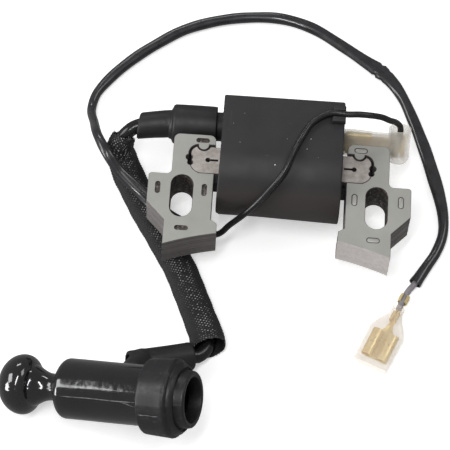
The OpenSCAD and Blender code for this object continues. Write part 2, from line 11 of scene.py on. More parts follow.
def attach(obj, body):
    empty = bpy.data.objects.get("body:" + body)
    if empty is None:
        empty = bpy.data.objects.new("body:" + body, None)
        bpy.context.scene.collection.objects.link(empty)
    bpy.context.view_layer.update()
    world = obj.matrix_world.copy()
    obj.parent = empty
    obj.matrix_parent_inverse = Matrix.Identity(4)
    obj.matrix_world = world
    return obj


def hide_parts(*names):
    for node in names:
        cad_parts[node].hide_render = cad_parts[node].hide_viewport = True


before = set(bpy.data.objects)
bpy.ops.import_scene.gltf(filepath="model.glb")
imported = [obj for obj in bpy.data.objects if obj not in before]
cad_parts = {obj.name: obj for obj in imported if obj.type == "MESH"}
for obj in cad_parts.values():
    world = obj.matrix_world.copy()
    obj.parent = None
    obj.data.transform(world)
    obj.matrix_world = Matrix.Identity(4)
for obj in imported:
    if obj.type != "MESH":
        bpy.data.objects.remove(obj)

MM = 0.001
COIL, CAP, COVER = "coil", "plug_cap", "receptacle_cover"
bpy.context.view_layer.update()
X, Y, Z = np.eye(3)


# ---- Camera -------------------------------------------------------------------------------

def make_camera():
    azimuth, elevation, roll = (math.radians(a) for a in (0.8, 63.06, 3.1))
    target, distance, sensor = np.array([-16.6, -3.2, 0.0]), 751.0, 36.0
    back = np.array([math.sin(azimuth) * math.cos(elevation),
                     -math.cos(azimuth) * math.cos(elevation), math.sin(elevation)])
    right = np.array([math.cos(azimuth), math.sin(azimuth), 0.0])
    up = np.cross(back, right)
    right, up = (right * math.cos(roll) + up * math.sin(roll),
                 up * math.cos(roll) - right * math.sin(roll))
    data = bpy.data.cameras.new("camera")
    data.sensor_width = sensor
    data.lens = 187.1
    data.clip_start, data.clip_end = 0.05, 20
    camera = bpy.data.objects.new("camera", data)
    bpy.context.scene.collection.objects.link(camera)
    axes = np.array([right, up, back]).T
    matrix = np.eye(4)
    matrix[:3, :3] = axes
    matrix[:3, 3] = (target + distance * back) * MM
    camera.matrix_world = Matrix(matrix.tolist())
    bpy.context.scene.camera = camera


make_camera()


# ---- Mesh helpers -------------------------------------------------------------------------

def unit(v):
    v = np.asarray(v, float)
    return v / np.linalg.norm(v)


def add_mesh(name, verts, faces, material, sharp=38, uv=None, smooth=True, face_slots=None):
    """A mesh object from points in millimetres; material is one material or a list of them."""
    mesh = bpy.data.meshes.new(name)
    mesh.from_pydata([[c * MM for c in v] for v in verts], [], [list(f) for f in faces])
    materials = material if isinstance(material, list) else [material]
    for m in materials:
        mesh.materials.append(m)
    if face_slots is not None:
        mesh.polygons.foreach_set("material_index", face_slots)
    if uv is not None:
        layer = mesh.uv_layers.new(name="uv")
        flat = [c for f in faces for i in f for c in uv[i]]
        layer.data.foreach_set("uv", flat)
    if smooth:
        mesh.shade_smooth()
        mesh.set_sharp_from_angle(angle=math.radians(sharp))
    mesh.update()
    obj = bpy.data.objects.new(name, mesh)
    bpy.context.scene.collection.objects.link(obj)
    return obj


def merge_doubles(obj, distance=1e-6):
    bm = bmesh.new()
    bm.from_mesh(obj.data)
    bmesh.ops.remove_doubles(bm, verts=bm.verts, dist=distance)
    bmesh.ops.dissolve_degenerate(bm, edges=bm.edges, dist=distance)
    bmesh.ops.recalc_face_normals(bm, faces=bm.faces)
    bm.to_mesh(obj.data)
    bm.free()
    return obj


def bake_modifiers(obj):
    """Puts the result of obj's modifiers into its mesh."""
    bpy.context.view_layer.update()
    graph = bpy.context.evaluated_depsgraph_get()
    mesh = bpy.data.meshes.new_from_object(obj.evaluated_get(graph))
    obj.modifiers.clear()
    obj.data = mesh


def boolean(obj, tool, operation="DIFFERENCE"):
    modifier = obj.modifiers.new("boolean", "BOOLEAN")
    modifier.operation = operation
    modifier.object = tool
    modifier.solver = "EXACT"
    bake_modifiers(obj)
    bpy.data.objects.remove(tool)


def bevel(obj, width, segments=3, angle=35):
    modifier = obj.modifiers.new("bevel", "BEVEL")
    modifier.width = width * MM
    modifier.segments = segments
    modifier.limit_method = "ANGLE"
    modifier.angle_limit = math.radians(angle)
    modifier.harden_normals = False
    bake_modifiers(obj)
    obj.data.shade_smooth()
    obj.data.set_sharp_from_angle(angle=math.radians(45))


def fit_out(obj, body, slot, *nodes):
    """obj rides on body and stands for the CAD nodes, which it hides; slot is not used."""
    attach(obj, body)
    if nodes:
        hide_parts(*nodes)


def skin(count, sides, caps=(True, True)):
    """Faces between count rings of sides points each."""
    faces = []
    for i in range(count - 1):
        for k in range(sides):
            n = (k + 1) % sides
            a, b = i * sides, (i + 1) * sides
            faces.append((a + k, a + n, b + n, b + k))
    if caps[0]:
        faces.append(tuple(reversed(range(sides))))
    if caps[1]:
        faces.append(tuple(range((count - 1) * sides, count * sides)))
    return faces


def catmull(q, t):
    """Point at share t between the middle two of four points, on a centripetal Catmull-Rom curve."""
    k = [0.0]
    for a, b in zip(q, q[1:]):
        k.append(k[-1] + max(float(np.linalg.norm(b[:3] - a[:3])), 1e-6) ** 0.5)
    s = k[1] + t * (k[2] - k[1])

    def mix(a, b, ka, kb):
        return ((kb - s) * a + (s - ka) * b) / (kb - ka)

    a1, a2, a3 = (mix(q[i], q[i + 1], k[i], k[i + 1]) for i in range(3))
    return mix(mix(a1, a2, k[0], k[2]), mix(a2, a3, k[1], k[3]), k[1], k[2])


def spline(points, step):
    """Points about step apart on a smooth curve through points; any columns after x, y, z follow."""
    p = np.asarray(points, float)
    p = np.vstack([2 * p[0] - p[1], p, 2 * p[-1] - p[-2]])
    out = []
    for i in range(1, len(p) - 2):
        n = max(1, round(float(np.linalg.norm(p[i + 1][:3] - p[i][:3])) / step))
        out += [catmull(p[i - 1:i + 3], k / n) for k in range(n)]
    out.append(p[-2])
    return np.array(out)


def path_length(path):
    p = np.asarray(path)[:, :3]
    return float(np.linalg.norm(np.diff(p, axis=0), axis=1).sum())


def travelled(path):
    p = np.asarray(path)[:, :3]
    return np.concatenate([[0], np.cumsum(np.linalg.norm(np.diff(p, axis=0), axis=1))])


def axes_along(path):
    """Heading, side and over vectors at each point of a path, with side kept level."""
    p = np.asarray(path)[:, :3]
    heading = np.gradient(p, axis=0)
    heading /= np.linalg.norm(heading, axis=1)[:, None]
    side = np.cross(Z, heading)
    side /= np.linalg.norm(side, axis=1)[:, None]
    return heading, side, np.cross(heading, side)


def ring_points(path, half_a, half_b, section):
    """Rings of points round a path; section holds the ring's outline for half sizes of one."""
    _, side, over = axes_along(path)
    p = np.asarray(path)[:, :3]
    s = np.asarray(section)
    if s.ndim == 2:
        s = np.broadcast_to(s, (len(p), *s.shape))
    return (p[:, None] + (half_a[:, None] * s[:, :, 0])[:, :, None] * side[:, None]
            + (half_b[:, None] * s[:, :, 1])[:, :, None] * over[:, None])


def circle(sides, turn=0.5):
    a = (np.arange(sides) + turn) * 2 * math.pi / sides
    return np.stack([np.cos(a), np.sin(a)], axis=1)


def arc(x, y, across, up, start, end, steps):
    """Points of an elliptic arc about (x, y), angles in degrees, both ends included."""
    return [(x + across * math.cos(a), y + up * math.sin(a))
            for a in np.radians(np.linspace(start, end, steps + 1))]


def ring_faces(count, sides):
    """Faces of count rings that close on themselves, the last ring back to the first."""
    last = (count - 1) * sides
    closing = [(last + k, last + (k + 1) % sides, (k + 1) % sides, k) for k in range(sides)]
    return skin(count, sides, caps=(False, False)) + closing


def turned(name, outline, material, place, segments=96, bump=None, sharp=38, **more):
    """Surface of revolution. outline holds (x along the axis, radius); place(x, y, z) gives row points."""
    verts = []
    for x, r in outline:
        for k in range(segments):
            a = 2 * math.pi * k / segments
            radius = r + (bump(x, r, a) if bump else 0)
            verts.append(place(x, radius * math.cos(a), radius * math.sin(a)))
    faces = skin(len(outline), segments, caps=(False, False))
    uv = [(x, k / segments) for x, _ in outline for k in range(segments)]
    return merge_doubles(add_mesh(name, verts, faces, material, sharp=sharp, uv=uv, **more))


def box_mesh(name, low, high, material):
    corners = [(x, y, z) for x in (low[0], high[0]) for y in (low[1], high[1]) for z in (low[2], high[2])]
    faces = [(0, 1, 3, 2), (4, 6, 7, 5), (0, 4, 5, 1), (2, 3, 7, 6), (0, 2, 6, 4), (1, 5, 7, 3)]
    return add_mesh(name, corners, faces, material, smooth=False)


# ---- Material helpers ---------------------------------------------------------------------

class Shader:
    """One Principled material and the nodes that feed it."""

    def __init__(self, name, colour, roughness=0.5, metallic=0.0, **sockets):
        self.material = bpy.data.materials.new(name)
        self.material.use_nodes = True
        self.tree = self.material.node_tree
        self.shader = self.tree.nodes["Principled BSDF"]
        self.set("Base Color", (*colour, 1))
        self.set("Roughness", roughness)
        self.set("Metallic", metallic)
        for key, value in sockets.items():
            self.set(key.replace("_", " "), value)
        self.last_normal = None

    def set(self, socket, value):
        self.shader.inputs[socket].default_value = value

    def node(self, kind, **values):
        n = self.tree.nodes.new(kind)
        for key, value in values.items():
            if hasattr(n, key):
                setattr(n, key, value)
            else:
                n.inputs[key.replace("_", " ")].default_value = value
        return n

    def link(self, a, b):
        self.tree.links.new(a, b)

    def coordinates(self, kind="Object", scale=(1, 1, 1), rotation=(0, 0, 0)):
        source = self.node("ShaderNodeTexCoord")
        mapping = self.node("ShaderNodeMapping")
        mapping.inputs["Scale"].default_value = scale
        mapping.inputs["Rotation"].default_value = rotation
        self.link(source.outputs[kind], mapping.inputs["Vector"])
        return mapping.outputs["Vector"]

    def noise(self, size, detail=3.0, roughness=0.55, stretch=(1, 1, 1), rotation=(0, 0, 0)):
        """Noise whose features are about size millimetres across."""
        n = self.node("ShaderNodeTexNoise", Detail=detail, Roughness=roughness)
        n.inputs["Scale"].default_value = 1 / (size * MM)
        self.link(self.coordinates(scale=stretch, rotation=rotation), n.inputs["Vector"])
        return n.outputs["Fac"]

    def cells(self, size, kind="DISTANCE_TO_EDGE"):
        n = self.node("ShaderNodeTexVoronoi", feature=kind)
        n.inputs["Scale"].default_value = 1 / (size * MM)
        self.link(self.coordinates(), n.inputs["Vector"])
        return n.outputs["Distance"]

    def ramp(self, value, low, high, start=0.0, end=1.0):
        n = self.node("ShaderNodeMapRange")
        n.inputs["From Min"].default_value = low
        n.inputs["From Max"].default_value = high
        n.inputs["To Min"].default_value = start
        n.inputs["To Max"].default_value = end
        self.link(value, n.inputs["Value"])
        return n.outputs["Result"]

    def math(self, operation, a, b):
        n = self.node("ShaderNodeMath", operation=operation)
        for i, v in enumerate((a, b)):
            if isinstance(v, (int, float)):
                n.inputs[i].default_value = v
            else:
                self.link(v, n.inputs[i])
        return n.outputs["Value"]

    def mix(self, factor, a, b):
        """Colour a where factor is 0 and b where it is 1; each is a colour or a socket."""
        n = self.node("ShaderNodeMix", data_type="RGBA")
        self.link(factor, n.inputs["Factor"])
        for key, v in (("A", a), ("B", b)):
            target = [s for s in n.inputs if s.name == key and s.type == "RGBA"][0]
            if isinstance(v, tuple):
                target.default_value = (*v, 1)
            else:
                self.link(v, target)
        return [s for s in n.outputs if s.type == "RGBA"][0]

    def colour(self, socket):
        self.link(socket, self.shader.inputs["Base Color"])

    def rough(self, socket):
        self.link(socket, self.shader.inputs["Roughness"])

    def bump(self, height, depth, strength=1.0):
        """depth is the height in millimetres that the value 1 stands for."""
        n = self.node("ShaderNodeBump", Strength=strength, Distance=depth * MM)
        self.link(height, n.inputs["Height"])
        if self.last_normal:
            self.link(self.last_normal, n.inputs["Normal"])
        self.last_normal = n.outputs["Normal"]
        self.link(self.last_normal, self.shader.inputs["Normal"])

    def tones(self, a, b, size, detail, roughness=0.55, low=0.35, high=0.65):
        """Colour that drifts between a and b in clouds of about size millimetres."""
        return self.mix(self.ramp(self.noise(size, detail, roughness), low, high), a, b)

    def gloss(self, low, high, size, detail, roughness=0.55):
        """Roughness that wanders between low and high."""
        self.rough(self.ramp(self.noise(size, detail, roughness), 0.3, 0.7, low, high))

    def grain(self, depth, size, detail, roughness=0.55):
        self.bump(self.noise(size, detail, roughness), depth)


def specks(m, base, speck, size, share, softness=0.02):
    """Scatters small flecks of the colour speck over the socket base."""
    near = m.ramp(m.cells(size, "F1"), share, share - softness)
    chosen = m.ramp(m.noise(size * 2.7, 1), 0.56, 0.6)
    return m.mix(m.math("MULTIPLY", near, chosen), base, speck)


def surface(name, tone, other, clouds, roughness, gloss, grains, flecks=None, metallic=0.0, **sockets):
    """A finish of two tones in clouds, uneven gloss, a grain or two and, where given, flecks."""
    m = Shader(name, tone, roughness, metallic, **sockets)
    base = m.tones(tone, other, *clouds)
    m.colour(specks(m, base, *flecks) if flecks else base)
    m.gloss(*gloss)
    for grain in grains:
        m.grain(*grain)
    return m.material


def mottled(name, tone, other, size, roughness, spread=0.1, grain=0.15, depth=0.02, **sockets):
    """A moulded or cast surface: two close tones, uneven gloss and a fine grain."""
    gloss = (roughness - spread / 2, roughness + spread / 2, size * 0.6, 3)
    return surface(name, tone, other, (size, 4), roughness, gloss, [(depth, grain, 2)], **sockets)


# ---- Materials ----------------------------------------------------------------------------

def lamination_face():
    return surface("lamination_face", (0.43, 0.43, 0.402), (0.395, 0.392, 0.364), (9, 4),
                   0.42, (0.36, 0.5, 1.2, 4, 0.7), [(0.012, 0.35, 3, 0.7)],
                   flecks=((0.12, 0.115, 0.105), 1.1, 0.06), metallic=0.35)


def bar_face():
    return surface("bar_face", (0.5, 0.465, 0.435), (0.37, 0.33, 0.3), (2.2, 5, 0.65, 0.38, 0.62),
                   0.5, (0.42, 0.6, 0.9, 4), [(0.03, 0.3, 4, 0.7)],
                   flecks=((0.05, 0.045, 0.04), 0.7, 0.12, 0.04), metallic=0.3)


def pole_face_painted_light():
    """The right leg's pole face: a paler copy of the cut edge finish, painted light for the light that falls
    on it from the left.
    """
    return surface("pole_face_painted_light", (0.56, 0.525, 0.51), (0.46, 0.43, 0.415), (1.4, 4, 0.65),
                   0.5, (0.42, 0.6, 0.8, 4), [(0.02, 0.25, 3)], metallic=0.2)


def lamination_edge():
    """Cut edges of the sheets: brownish grey, each sheet a slightly different tone."""
    light, dark, stained = (0.2, 0.184, 0.18), (0.125, 0.113, 0.11), (0.1, 0.09, 0.087)
    m = Shader("lamination_edge", light, 0.55, 0.4)
    sheets = m.noise(3.0, 2, stretch=(0.05, 0.05, 6.0))
    patches = m.noise(1.6, 5, 0.7)
    base = m.mix(m.ramp(sheets, 0.35, 0.65), light, dark)
    m.colour(m.mix(m.ramp(patches, 0.68, 0.9), base, stained))
    m.rough(m.ramp(patches, 0.3, 0.7, 0.42, 0.66))
    m.grain(0.02, 0.25, 3)
    return m.material


def slot_wall_painted_shade():
    """Sheared wall of a slot: its near-black base is painted shade for the inside of slots and dimples; the
    pale burnished patches are the metal's own.
    """
    dark, brown, pale = (0.035, 0.03, 0.028), (0.11, 0.093, 0.08), (0.33, 0.31, 0.3)
    m = Shader("slot_wall_painted_shade", dark, 0.5, 0.5)
    base = m.tones(dark, brown, 1.5, 5, 0.7, 0.4, 0.62)
    m.colour(m.tones(base, pale, 0.8, 6, 0.75, 0.53, 0.66))
    m.grain(0.05, 0.3, 4, 0.7)
    return m.material


def housing_plastic():
    """Charcoal plastic with crossing scratches and dust; a paler, browner strip along its lower edge is
    painted reflection of the floor's light.
    """
    tone, other = (0.021, 0.02, 0.022), (0.027, 0.0255, 0.0265)
    scratch, dust, painted_floor_glow = (0.16, 0.15, 0.15), (0.4, 0.39, 0.38), (0.038, 0.033, 0.031)
    glow_top, glow_full = 0.0052, 0.0022
    m = Shader("housing_plastic", tone, 0.52, Specular_IOR_Level=0.42)
    base = m.tones(tone, other, 14, 4)
    long_lines = m.noise(0.5, 2, stretch=(1, 0.06, 0.1), rotation=(0, 0, 0.6))
    cross_lines = m.noise(0.5, 2, stretch=(0.07, 1, 0.1), rotation=(0, 0, -0.25))
    scratched = m.math("MAXIMUM", m.ramp(long_lines, 0.69, 0.74), m.ramp(cross_lines, 0.7, 0.75))
    scratches = m.math("MULTIPLY", scratched, m.ramp(m.noise(11, 2), 0.52, 0.62))
    base = m.mix(m.math("MULTIPLY", scratches, 0.5), base, scratch)
    base = specks(m, base, dust, 3.2, 0.05, 0.03)
    # Painted reflection: below about 5 mm in y the colour fades to the paler brown of the floor's light.
    split = m.node("ShaderNodeSeparateXYZ")
    m.link(m.coordinates(), split.inputs["Vector"])
    height = m.math("ADD", split.outputs["Y"], m.math("MULTIPLY", m.noise(5, 3), 0.002))
    m.colour(m.mix(m.ramp(height, glow_top, glow_full), base, painted_floor_glow))
    m.gloss(0.45, 0.58, 6, 4)
    m.grain(0.014, 0.22, 3, 0.6)
    m.bump(scratches, 0.01)
    return m.material


def dust_material():
    return mottled("dust", (0.85, 0.85, 0.86), (0.7, 0.7, 0.7), 1, 0.7)


def boot_rubber():
    return mottled("boot_rubber", (0.013, 0.0125, 0.014), (0.018, 0.0175, 0.019), 6, 0.48, 0.14, 0.2, 0.018,
                   Specular_IOR_Level=0.4)


def seal_rubber():
    """Collar of the cap: black rubber, rubbed grey in places."""
    return surface("seal_rubber", (0.014, 0.0135, 0.015), (0.045, 0.043, 0.042), (2.4, 5, 0.7, 0.58, 0.75),
                   0.4, (0.3, 0.52, 1.3, 5, 0.7), [(0.02, 0.5, 4, 0.7)],
                   flecks=((0.3, 0.29, 0.28), 1.7, 0.05, 0.03), Specular_IOR_Level=0.45)


def cap_plastic():
    """Glossy phenolic with the slow waviness of a moulding."""
    return surface("cap_plastic", (0.007, 0.0065, 0.0075), (0.011, 0.01, 0.011), (8, 3),
                   0.12, (0.06, 0.18, 1.5, 5, 0.65), [(0.12, 4.5, 2, 0.5), (0.012, 1.2, 2)],
                   Specular_IOR_Level=0.65, Coat_Weight=0.8, Coat_Roughness=0.04)


def parting_line_painted_highlight():
    """Crest of a parting line, painted pale grey: a painted highlight along the ridge."""
    return surface("parting_line_painted_highlight", (0.05, 0.049, 0.051), (0.19, 0.185, 0.19), (1.6, 4, 0.65, 0.4, 0.62),
                   0.4, (0.3, 0.5, 0.7, 3), [(0.01, 0.3, 2)])


def lead_jacket():
    return mottled("lead_jacket", (0.009, 0.009, 0.01), (0.013, 0.013, 0.014), 4, 0.22, 0.1, 0.5)


def wire_jacket():
    return mottled("wire_jacket", (0.013, 0.0125, 0.013), (0.02, 0.019, 0.019), 3, 0.3, 0.12, 0.4, 0.015)


# A paler copy of the wire jacket: painted highlight.
def painted_highlight_wire_jacket():
    return mottled("wire_jacket_painted_highlight", (0.3, 0.28, 0.3), (0.24, 0.225, 0.24), 2, 0.3)


def vinyl():
    return surface("vinyl_tubing", (0.014, 0.014, 0.016), (0.022, 0.022, 0.025), (5, 3),
                   0.26, (0.24, 0.4, 2.5, 4), [(0.02, 1.2, 3)],
                   Specular_IOR_Level=0.5, Coat_Weight=0.6, Coat_Roughness=0.08)


def braid():
    """Woven sleeve. uv counts stitches along and round it; pale yarn shows as rows of flecks."""
    dark, yarn, pale = (0.004, 0.004, 0.005), (0.012, 0.012, 0.013), (0.4, 0.4, 0.4)
    top_stitch = 6.6
    m = Shader("woven_braid", dark, 0.6, Specular_IOR_Level=0.35, Sheen_Weight=0.08, Sheen_Roughness=0.5)
    split = m.node("ShaderNodeSeparateXYZ")
    m.link(m.coordinates("UV"), split.inputs["Vector"])
    along, around = split.outputs["X"], split.outputs["Y"]
    waves = []
    for operation in ("ADD", "SUBTRACT"):
        diagonal = m.math("MULTIPLY", m.math(operation, along, around), math.pi * 0.9)
        waves.append(m.math("ABSOLUTE", m.math("SINE", diagonal, 0), 0))
    crest = m.math("MULTIPLY", *waves)
    ground = m.mix(m.ramp(crest, 0.15, 0.75), dark, yarn)
    off_centre = m.math("ABSOLUTE", m.math("SUBTRACT", around, top_stitch), 0)
    band = m.ramp(m.math("ADD", off_centre, m.math("MULTIPLY", m.noise(9, 2), 6.0)), 6.2, 4.2)
    chosen = m.math("MULTIPLY", m.ramp(m.noise(1.1, 2, 0.6), 0.46, 0.54), band)
    m.colour(m.mix(m.math("MULTIPLY", m.ramp(crest, 0.72, 0.9), chosen), ground, pale))
    m.bump(crest, 0.06)
    m.grain(0.02, 0.12, 2)
    return m.material


def fibre():
    return mottled("loose_fibre", (0.28, 0.28, 0.27), (0.06, 0.06, 0.06), 1.5, 0.6)


def brass():
    return surface("brass", (1.0, 0.83, 0.45), (0.95, 0.72, 0.33), (3.5, 3, 0.5, 0.4, 0.7),
                   0.24, (0.24, 0.36, 2.5, 3), [(0.02, 3, 2)], metallic=0.5)


def milky_vinyl():
    """Flag cover: cloudy vinyl through which the terminal shows as a brown shade."""
    return surface("milky_vinyl", (0.9, 0.87, 0.81), (0.82, 0.77, 0.68), (3, 4, 0.6),
                   0.3, (0.2, 0.4, 1.5, 4), [(0.1, 1.4, 4, 0.6)], Alpha=0.36, Specular_IOR_Level=0.55)


def clear_vinyl():
    return surface("clear_vinyl", (0.8, 0.72, 0.62), (0.86, 0.79, 0.7), (4, 3),
                   0.12, (0.06, 0.2, 2, 4), [(0.12, 2.2, 3, 0.5)], Alpha=0.18, Specular_IOR_Level=0.7)


def copper_wire():
    """Close turns of enamelled wire."""
    m = Shader("copper_wire", (0.6, 0.24, 0.09), 0.3, 0.9)
    turns = m.noise(0.5, 1, stretch=(4, 0.05, 0.05))
    m.colour(m.mix(m.ramp(turns, 0.35, 0.65), (0.62, 0.26, 0.1), (0.35, 0.12, 0.04)))
    m.bump(turns, 0.06)
    return m.material


def inner_materials():
    """Finishes of the pieces inside, which show only when the part is opened."""
    looks = {
        "potting_resin": ((0.012, 0.012, 0.012), (0.02, 0.019, 0.018), 8, 0.28, 0.2, 1.5, 0.05),
        "bobbin_black": ((0.012, 0.012, 0.012), (0.02, 0.02, 0.02), 5, 0.5),
        "bobbin_natural": ((0.75, 0.7, 0.58), (0.66, 0.6, 0.48), 6, 0.45),
        "circuit_board": ((0.02, 0.1, 0.04), (0.03, 0.13, 0.05), 3, 0.35),
        "electronics_black": ((0.02, 0.02, 0.02), (0.03, 0.03, 0.03), 2, 0.5),
        "electronics_tan": ((0.3, 0.17, 0.06), (0.22, 0.12, 0.04), 2, 0.4),
        "ceramic": ((0.7, 0.65, 0.52), (0.6, 0.55, 0.44), 3, 0.55),
    }
    made = {name: mottled(name, *look) for name, look in looks.items()}
    made["spring_steel"] = mottled("spring_steel", (0.55, 0.56, 0.58), (0.42, 0.43, 0.45), 2, 0.3,
                                   Metallic=1.0)
    made["copper_wire"] = copper_wire()
    made["tinned_brass"] = BRASS
    return made


FACE, BAR, EDGE, SLOT_WALL_SHADE, POLE_PAINTED_LIGHT = lamination_face(), bar_face(), lamination_edge(), slot_wall_painted_shade(), pole_face_painted_light()
HOUSING, DUST, BOOT, SEAL = housing_plastic(), dust_material(), boot_rubber(), seal_rubber()
CAP_PLASTIC, PARTING_HIGHLIGHT, BRASS, MILKY, CLEAR = cap_plastic(), parting_line_painted_highlight(), brass(), milky_vinyl(), clear_vinyl()
JACKET, WIRE, WIRE_HIGHLIGHT_PAINT, VINYL = lead_jacket(), wire_jacket(), painted_highlight_wire_jacket(), vinyl()
BRAID, FIBRE = braid(), fibre()


# ---- The cap's own frame --------------------------------------------------------------------

CAP_POS = np.array([-82.4, -62, -2])
CAP_TILT, CAP_HEADING = math.radians(18), math.radians(-9.4)
CAP_U = np.array([math.cos(CAP_TILT) * math.cos(CAP_HEADING),
                  math.cos(CAP_TILT) * math.sin(CAP_HEADING), math.sin(CAP_TILT)])
CAP_V = np.array([-math.sin(CAP_HEADING), math.cos(CAP_HEADING), 0.0])
CAP_W = np.cross(CAP_U, CAP_V)
OUTLET_X, OUTLET_ROLL, ELBOW_AT = 39.6, math.radians(-35), 19.2
HOOD_LEN, HOOD_LIP = 16.5, 4.4
OUTLET = math.cos(OUTLET_ROLL) * CAP_V + math.sin(OUTLET_ROLL) * CAP_W
HOOD = unit([0.73, 0.47, -0.5]) @ np.array([CAP_U, CAP_V, CAP_W])


def on_cap(x, y, z):
    return CAP_POS + x * CAP_U + y * CAP_V + z * CAP_W


def on_outlet(distance):
    return on_cap(OUTLET_X, 0, 0) + distance * OUTLET


def on_hood(distance):
    return on_outlet(ELBOW_AT) + distance * HOOD


# ---- Cords: the same routes as the CAD solids -----------------------------------------------

LEAD_D, WIRE_D = 4.6, 2.0
LEAD_ROUTE = [
    (-26.2, 29.2, 6.25), (-36, 29.2, 6.25), (-46.9, 28.2, 5.15), (-50, 26.5, 4), (-52.5, 24, 1),
    (-52, 20.5, -2), (-49.5, 16, -5), (-47, 11.5, -6), (-42.5, 3.5, -6.3), (-36, -7, -6.3),
    (-30, -17, -6.3), (-22.5, -34, -6.3), (-20.5, -40, -6), (-19.5, -43, -6),
    (-20.5, -45.5, -5.5), (-22.5, -47.5, -5), on_hood(HOOD_LEN), on_hood(9), on_hood(4),
]
# Centre, half width, half thickness
SLEEVE_ROUTE = [
    (-51.5, 25.5, 2.5, 4, 3.6), (-52.5, 22.5, 0, 4.6, 3.6), (-51.5, 20, -3, 5, 3.4),
    (-49.5, 16, -5, 5.3, 3.2), (-47, 11.5, -6, 5.3, 2.9), (-42.5, 3.5, -6.3, 5.3, 2.7),
    (-36, -7, -6.3, 5.3, 2.7), (-30, -17, -6.3, 5.4, 2.7), (-22.5, -34, -6.3, 5.5, 2.7),
    (-20, -40, -6, 5.7, 2.9), (-19.5, -44, -5.5, 5.9, 3.3),
]
FLAG_POS, FLAG_TILT, FLAG_X = np.array([0, 27.7, 4.3]), math.radians(-34), 38.0
BARREL = np.array([0, -math.sin(FLAG_TILT), math.cos(FLAG_TILT)])
FLAG_IN = np.array([FLAG_X, FLAG_POS[1], FLAG_POS[2]])
SOCKET_POS, SOCKET_HEADING = np.array([31.9, -46, -6.9]), math.radians(67)
SOCKET_U = np.array([math.cos(SOCKET_HEADING), math.sin(SOCKET_HEADING), 0])
SOCKET_V = np.array([-math.sin(SOCKET_HEADING), math.cos(SOCKET_HEADING), 0])
WIRE_FRONT = [
    (36.5, 31.5, 12.5), (34, 30.5, 15.5), (31.5, 30, 18), (27.5, 29, 20.5), (23.5, 28.5, 21.5),
    (20.5, 28.2, 21.6), (14.5, 28.2, 21.6), (9, 24.5, 21.5), (6, 19, 21.5), (3.5, 13, 22),
    (1, 6.5, 20.5), (-4, 1, 16), (-9.5, -2.5, 9.5), (-15, -4.5, 3), (-19, -6, -1.5),
]
TUBING_ROUTE = [
    (-26, -5, -2.2, 2.4, 1.35), (-36, 0.5, -2.2, 2.4, 1.35), (-42, 5.5, -2.2, 2.4, 1.35),
    (-47, 9.5, -1, 2.2, 1.4), (-52, 13.5, 1, 2, 1.5), (-56.5, 18.5, 4, 1.8, 1.6),
    (-60, 25, 3, 1.6, 1.7), (-62, 33, -3, 1.5, 1.7), (-63.5, 40, -7, 1.5, 1.7),
    (-62.5, 46, -7.3, 1.6, 1.7), (-59, 52, -7.3, 1.8, 1.7), (-53, 59, -7.3, 1.9, 1.7),
    (-44, 67, -7.3, 1.9, 1.7), (-35, 73.5, -7.3, 1.9, 1.7), (-25, 77.5, -7.3, 1.9, 1.7),
    (-14, 80, -7.3, 1.9, 1.7), (-3, 80.5, -7.3, 2, 1.7), (8, 77.5, -7.3, 2, 1.7),
    (19, 71, -7.3, 2, 1.6), (27, 65.5, -7.3, 2.3, 1.5), (32, 62, -7.3, 2.7, 1.4),
    (36.5, 57.5, -7.3, 2.2, 1.5), (40, 52, -7.3, 1.9, 1.65), (43.5, 44, -7.3, 2, 1.6),
    (47, 34.5, -7.3, 2.2, 1.5), (50, 25.5, -7.3, 2.3, 1.5), (52.5, 17, -7.3, 2.2, 1.5),
    (54, 9, -7.3, 1.8, 1.7), (54, 2, -7.3, 1.7, 1.7), (52, -4.5, -7.3, 1.7, 1.7),
    (49, -10, -7.3, 1.8, 1.7), (45.5, -16, -7.3, 1.9, 1.7),
]
WIRE_ROUTE = ([FLAG_IN + 1.2 * BARREL, FLAG_IN + 6.5 * BARREL] + [np.array(p) for p in WIRE_FRONT]
              + [np.array(p[:3]) for p in TUBING_ROUTE]
              + [SOCKET_POS + 28.6 * SOCKET_U, SOCKET_POS + 22 * SOCKET_U])

def round_cord(name, route, diameter, material, step, sides):
    path = spline(route, step)
    half = np.full(len(path), diameter / 2)
    rings = ring_points(path, half, half, circle(sides))
    obj = add_mesh(name, rings.reshape(-1, 3), skin(len(path), sides), material, sharp=60)
    return obj, path


def make_lead():
    return round_cord("ht_lead_cord", LEAD_ROUTE, LEAD_D, JACKET, 1.2, 28)


def make_stop_wire():
    """The wire; its bare stretch between the tubing and the receptacle is painted paler: a painted highlight
    on the same jacket.
    """
    obj, path = round_cord("stop_wire_cord", WIRE_ROUTE, WIRE_D, WIRE, 0.9, 20)
    obj.data.materials.append(WIRE_HIGHLIGHT_PAINT)
    for polygon in obj.data.polygons:
        # Faces past x 30 mm and below y -15 mm get the paler jacket: painted highlight.
        if polygon.center.y < -0.015 and polygon.center.x > 0.03:
            polygon.material_index = 1
    return obj, path


STITCH = 0.92
STITCHES_ROUND = 28
SAMPLES = 4
MOUTH_LEN = 6.0


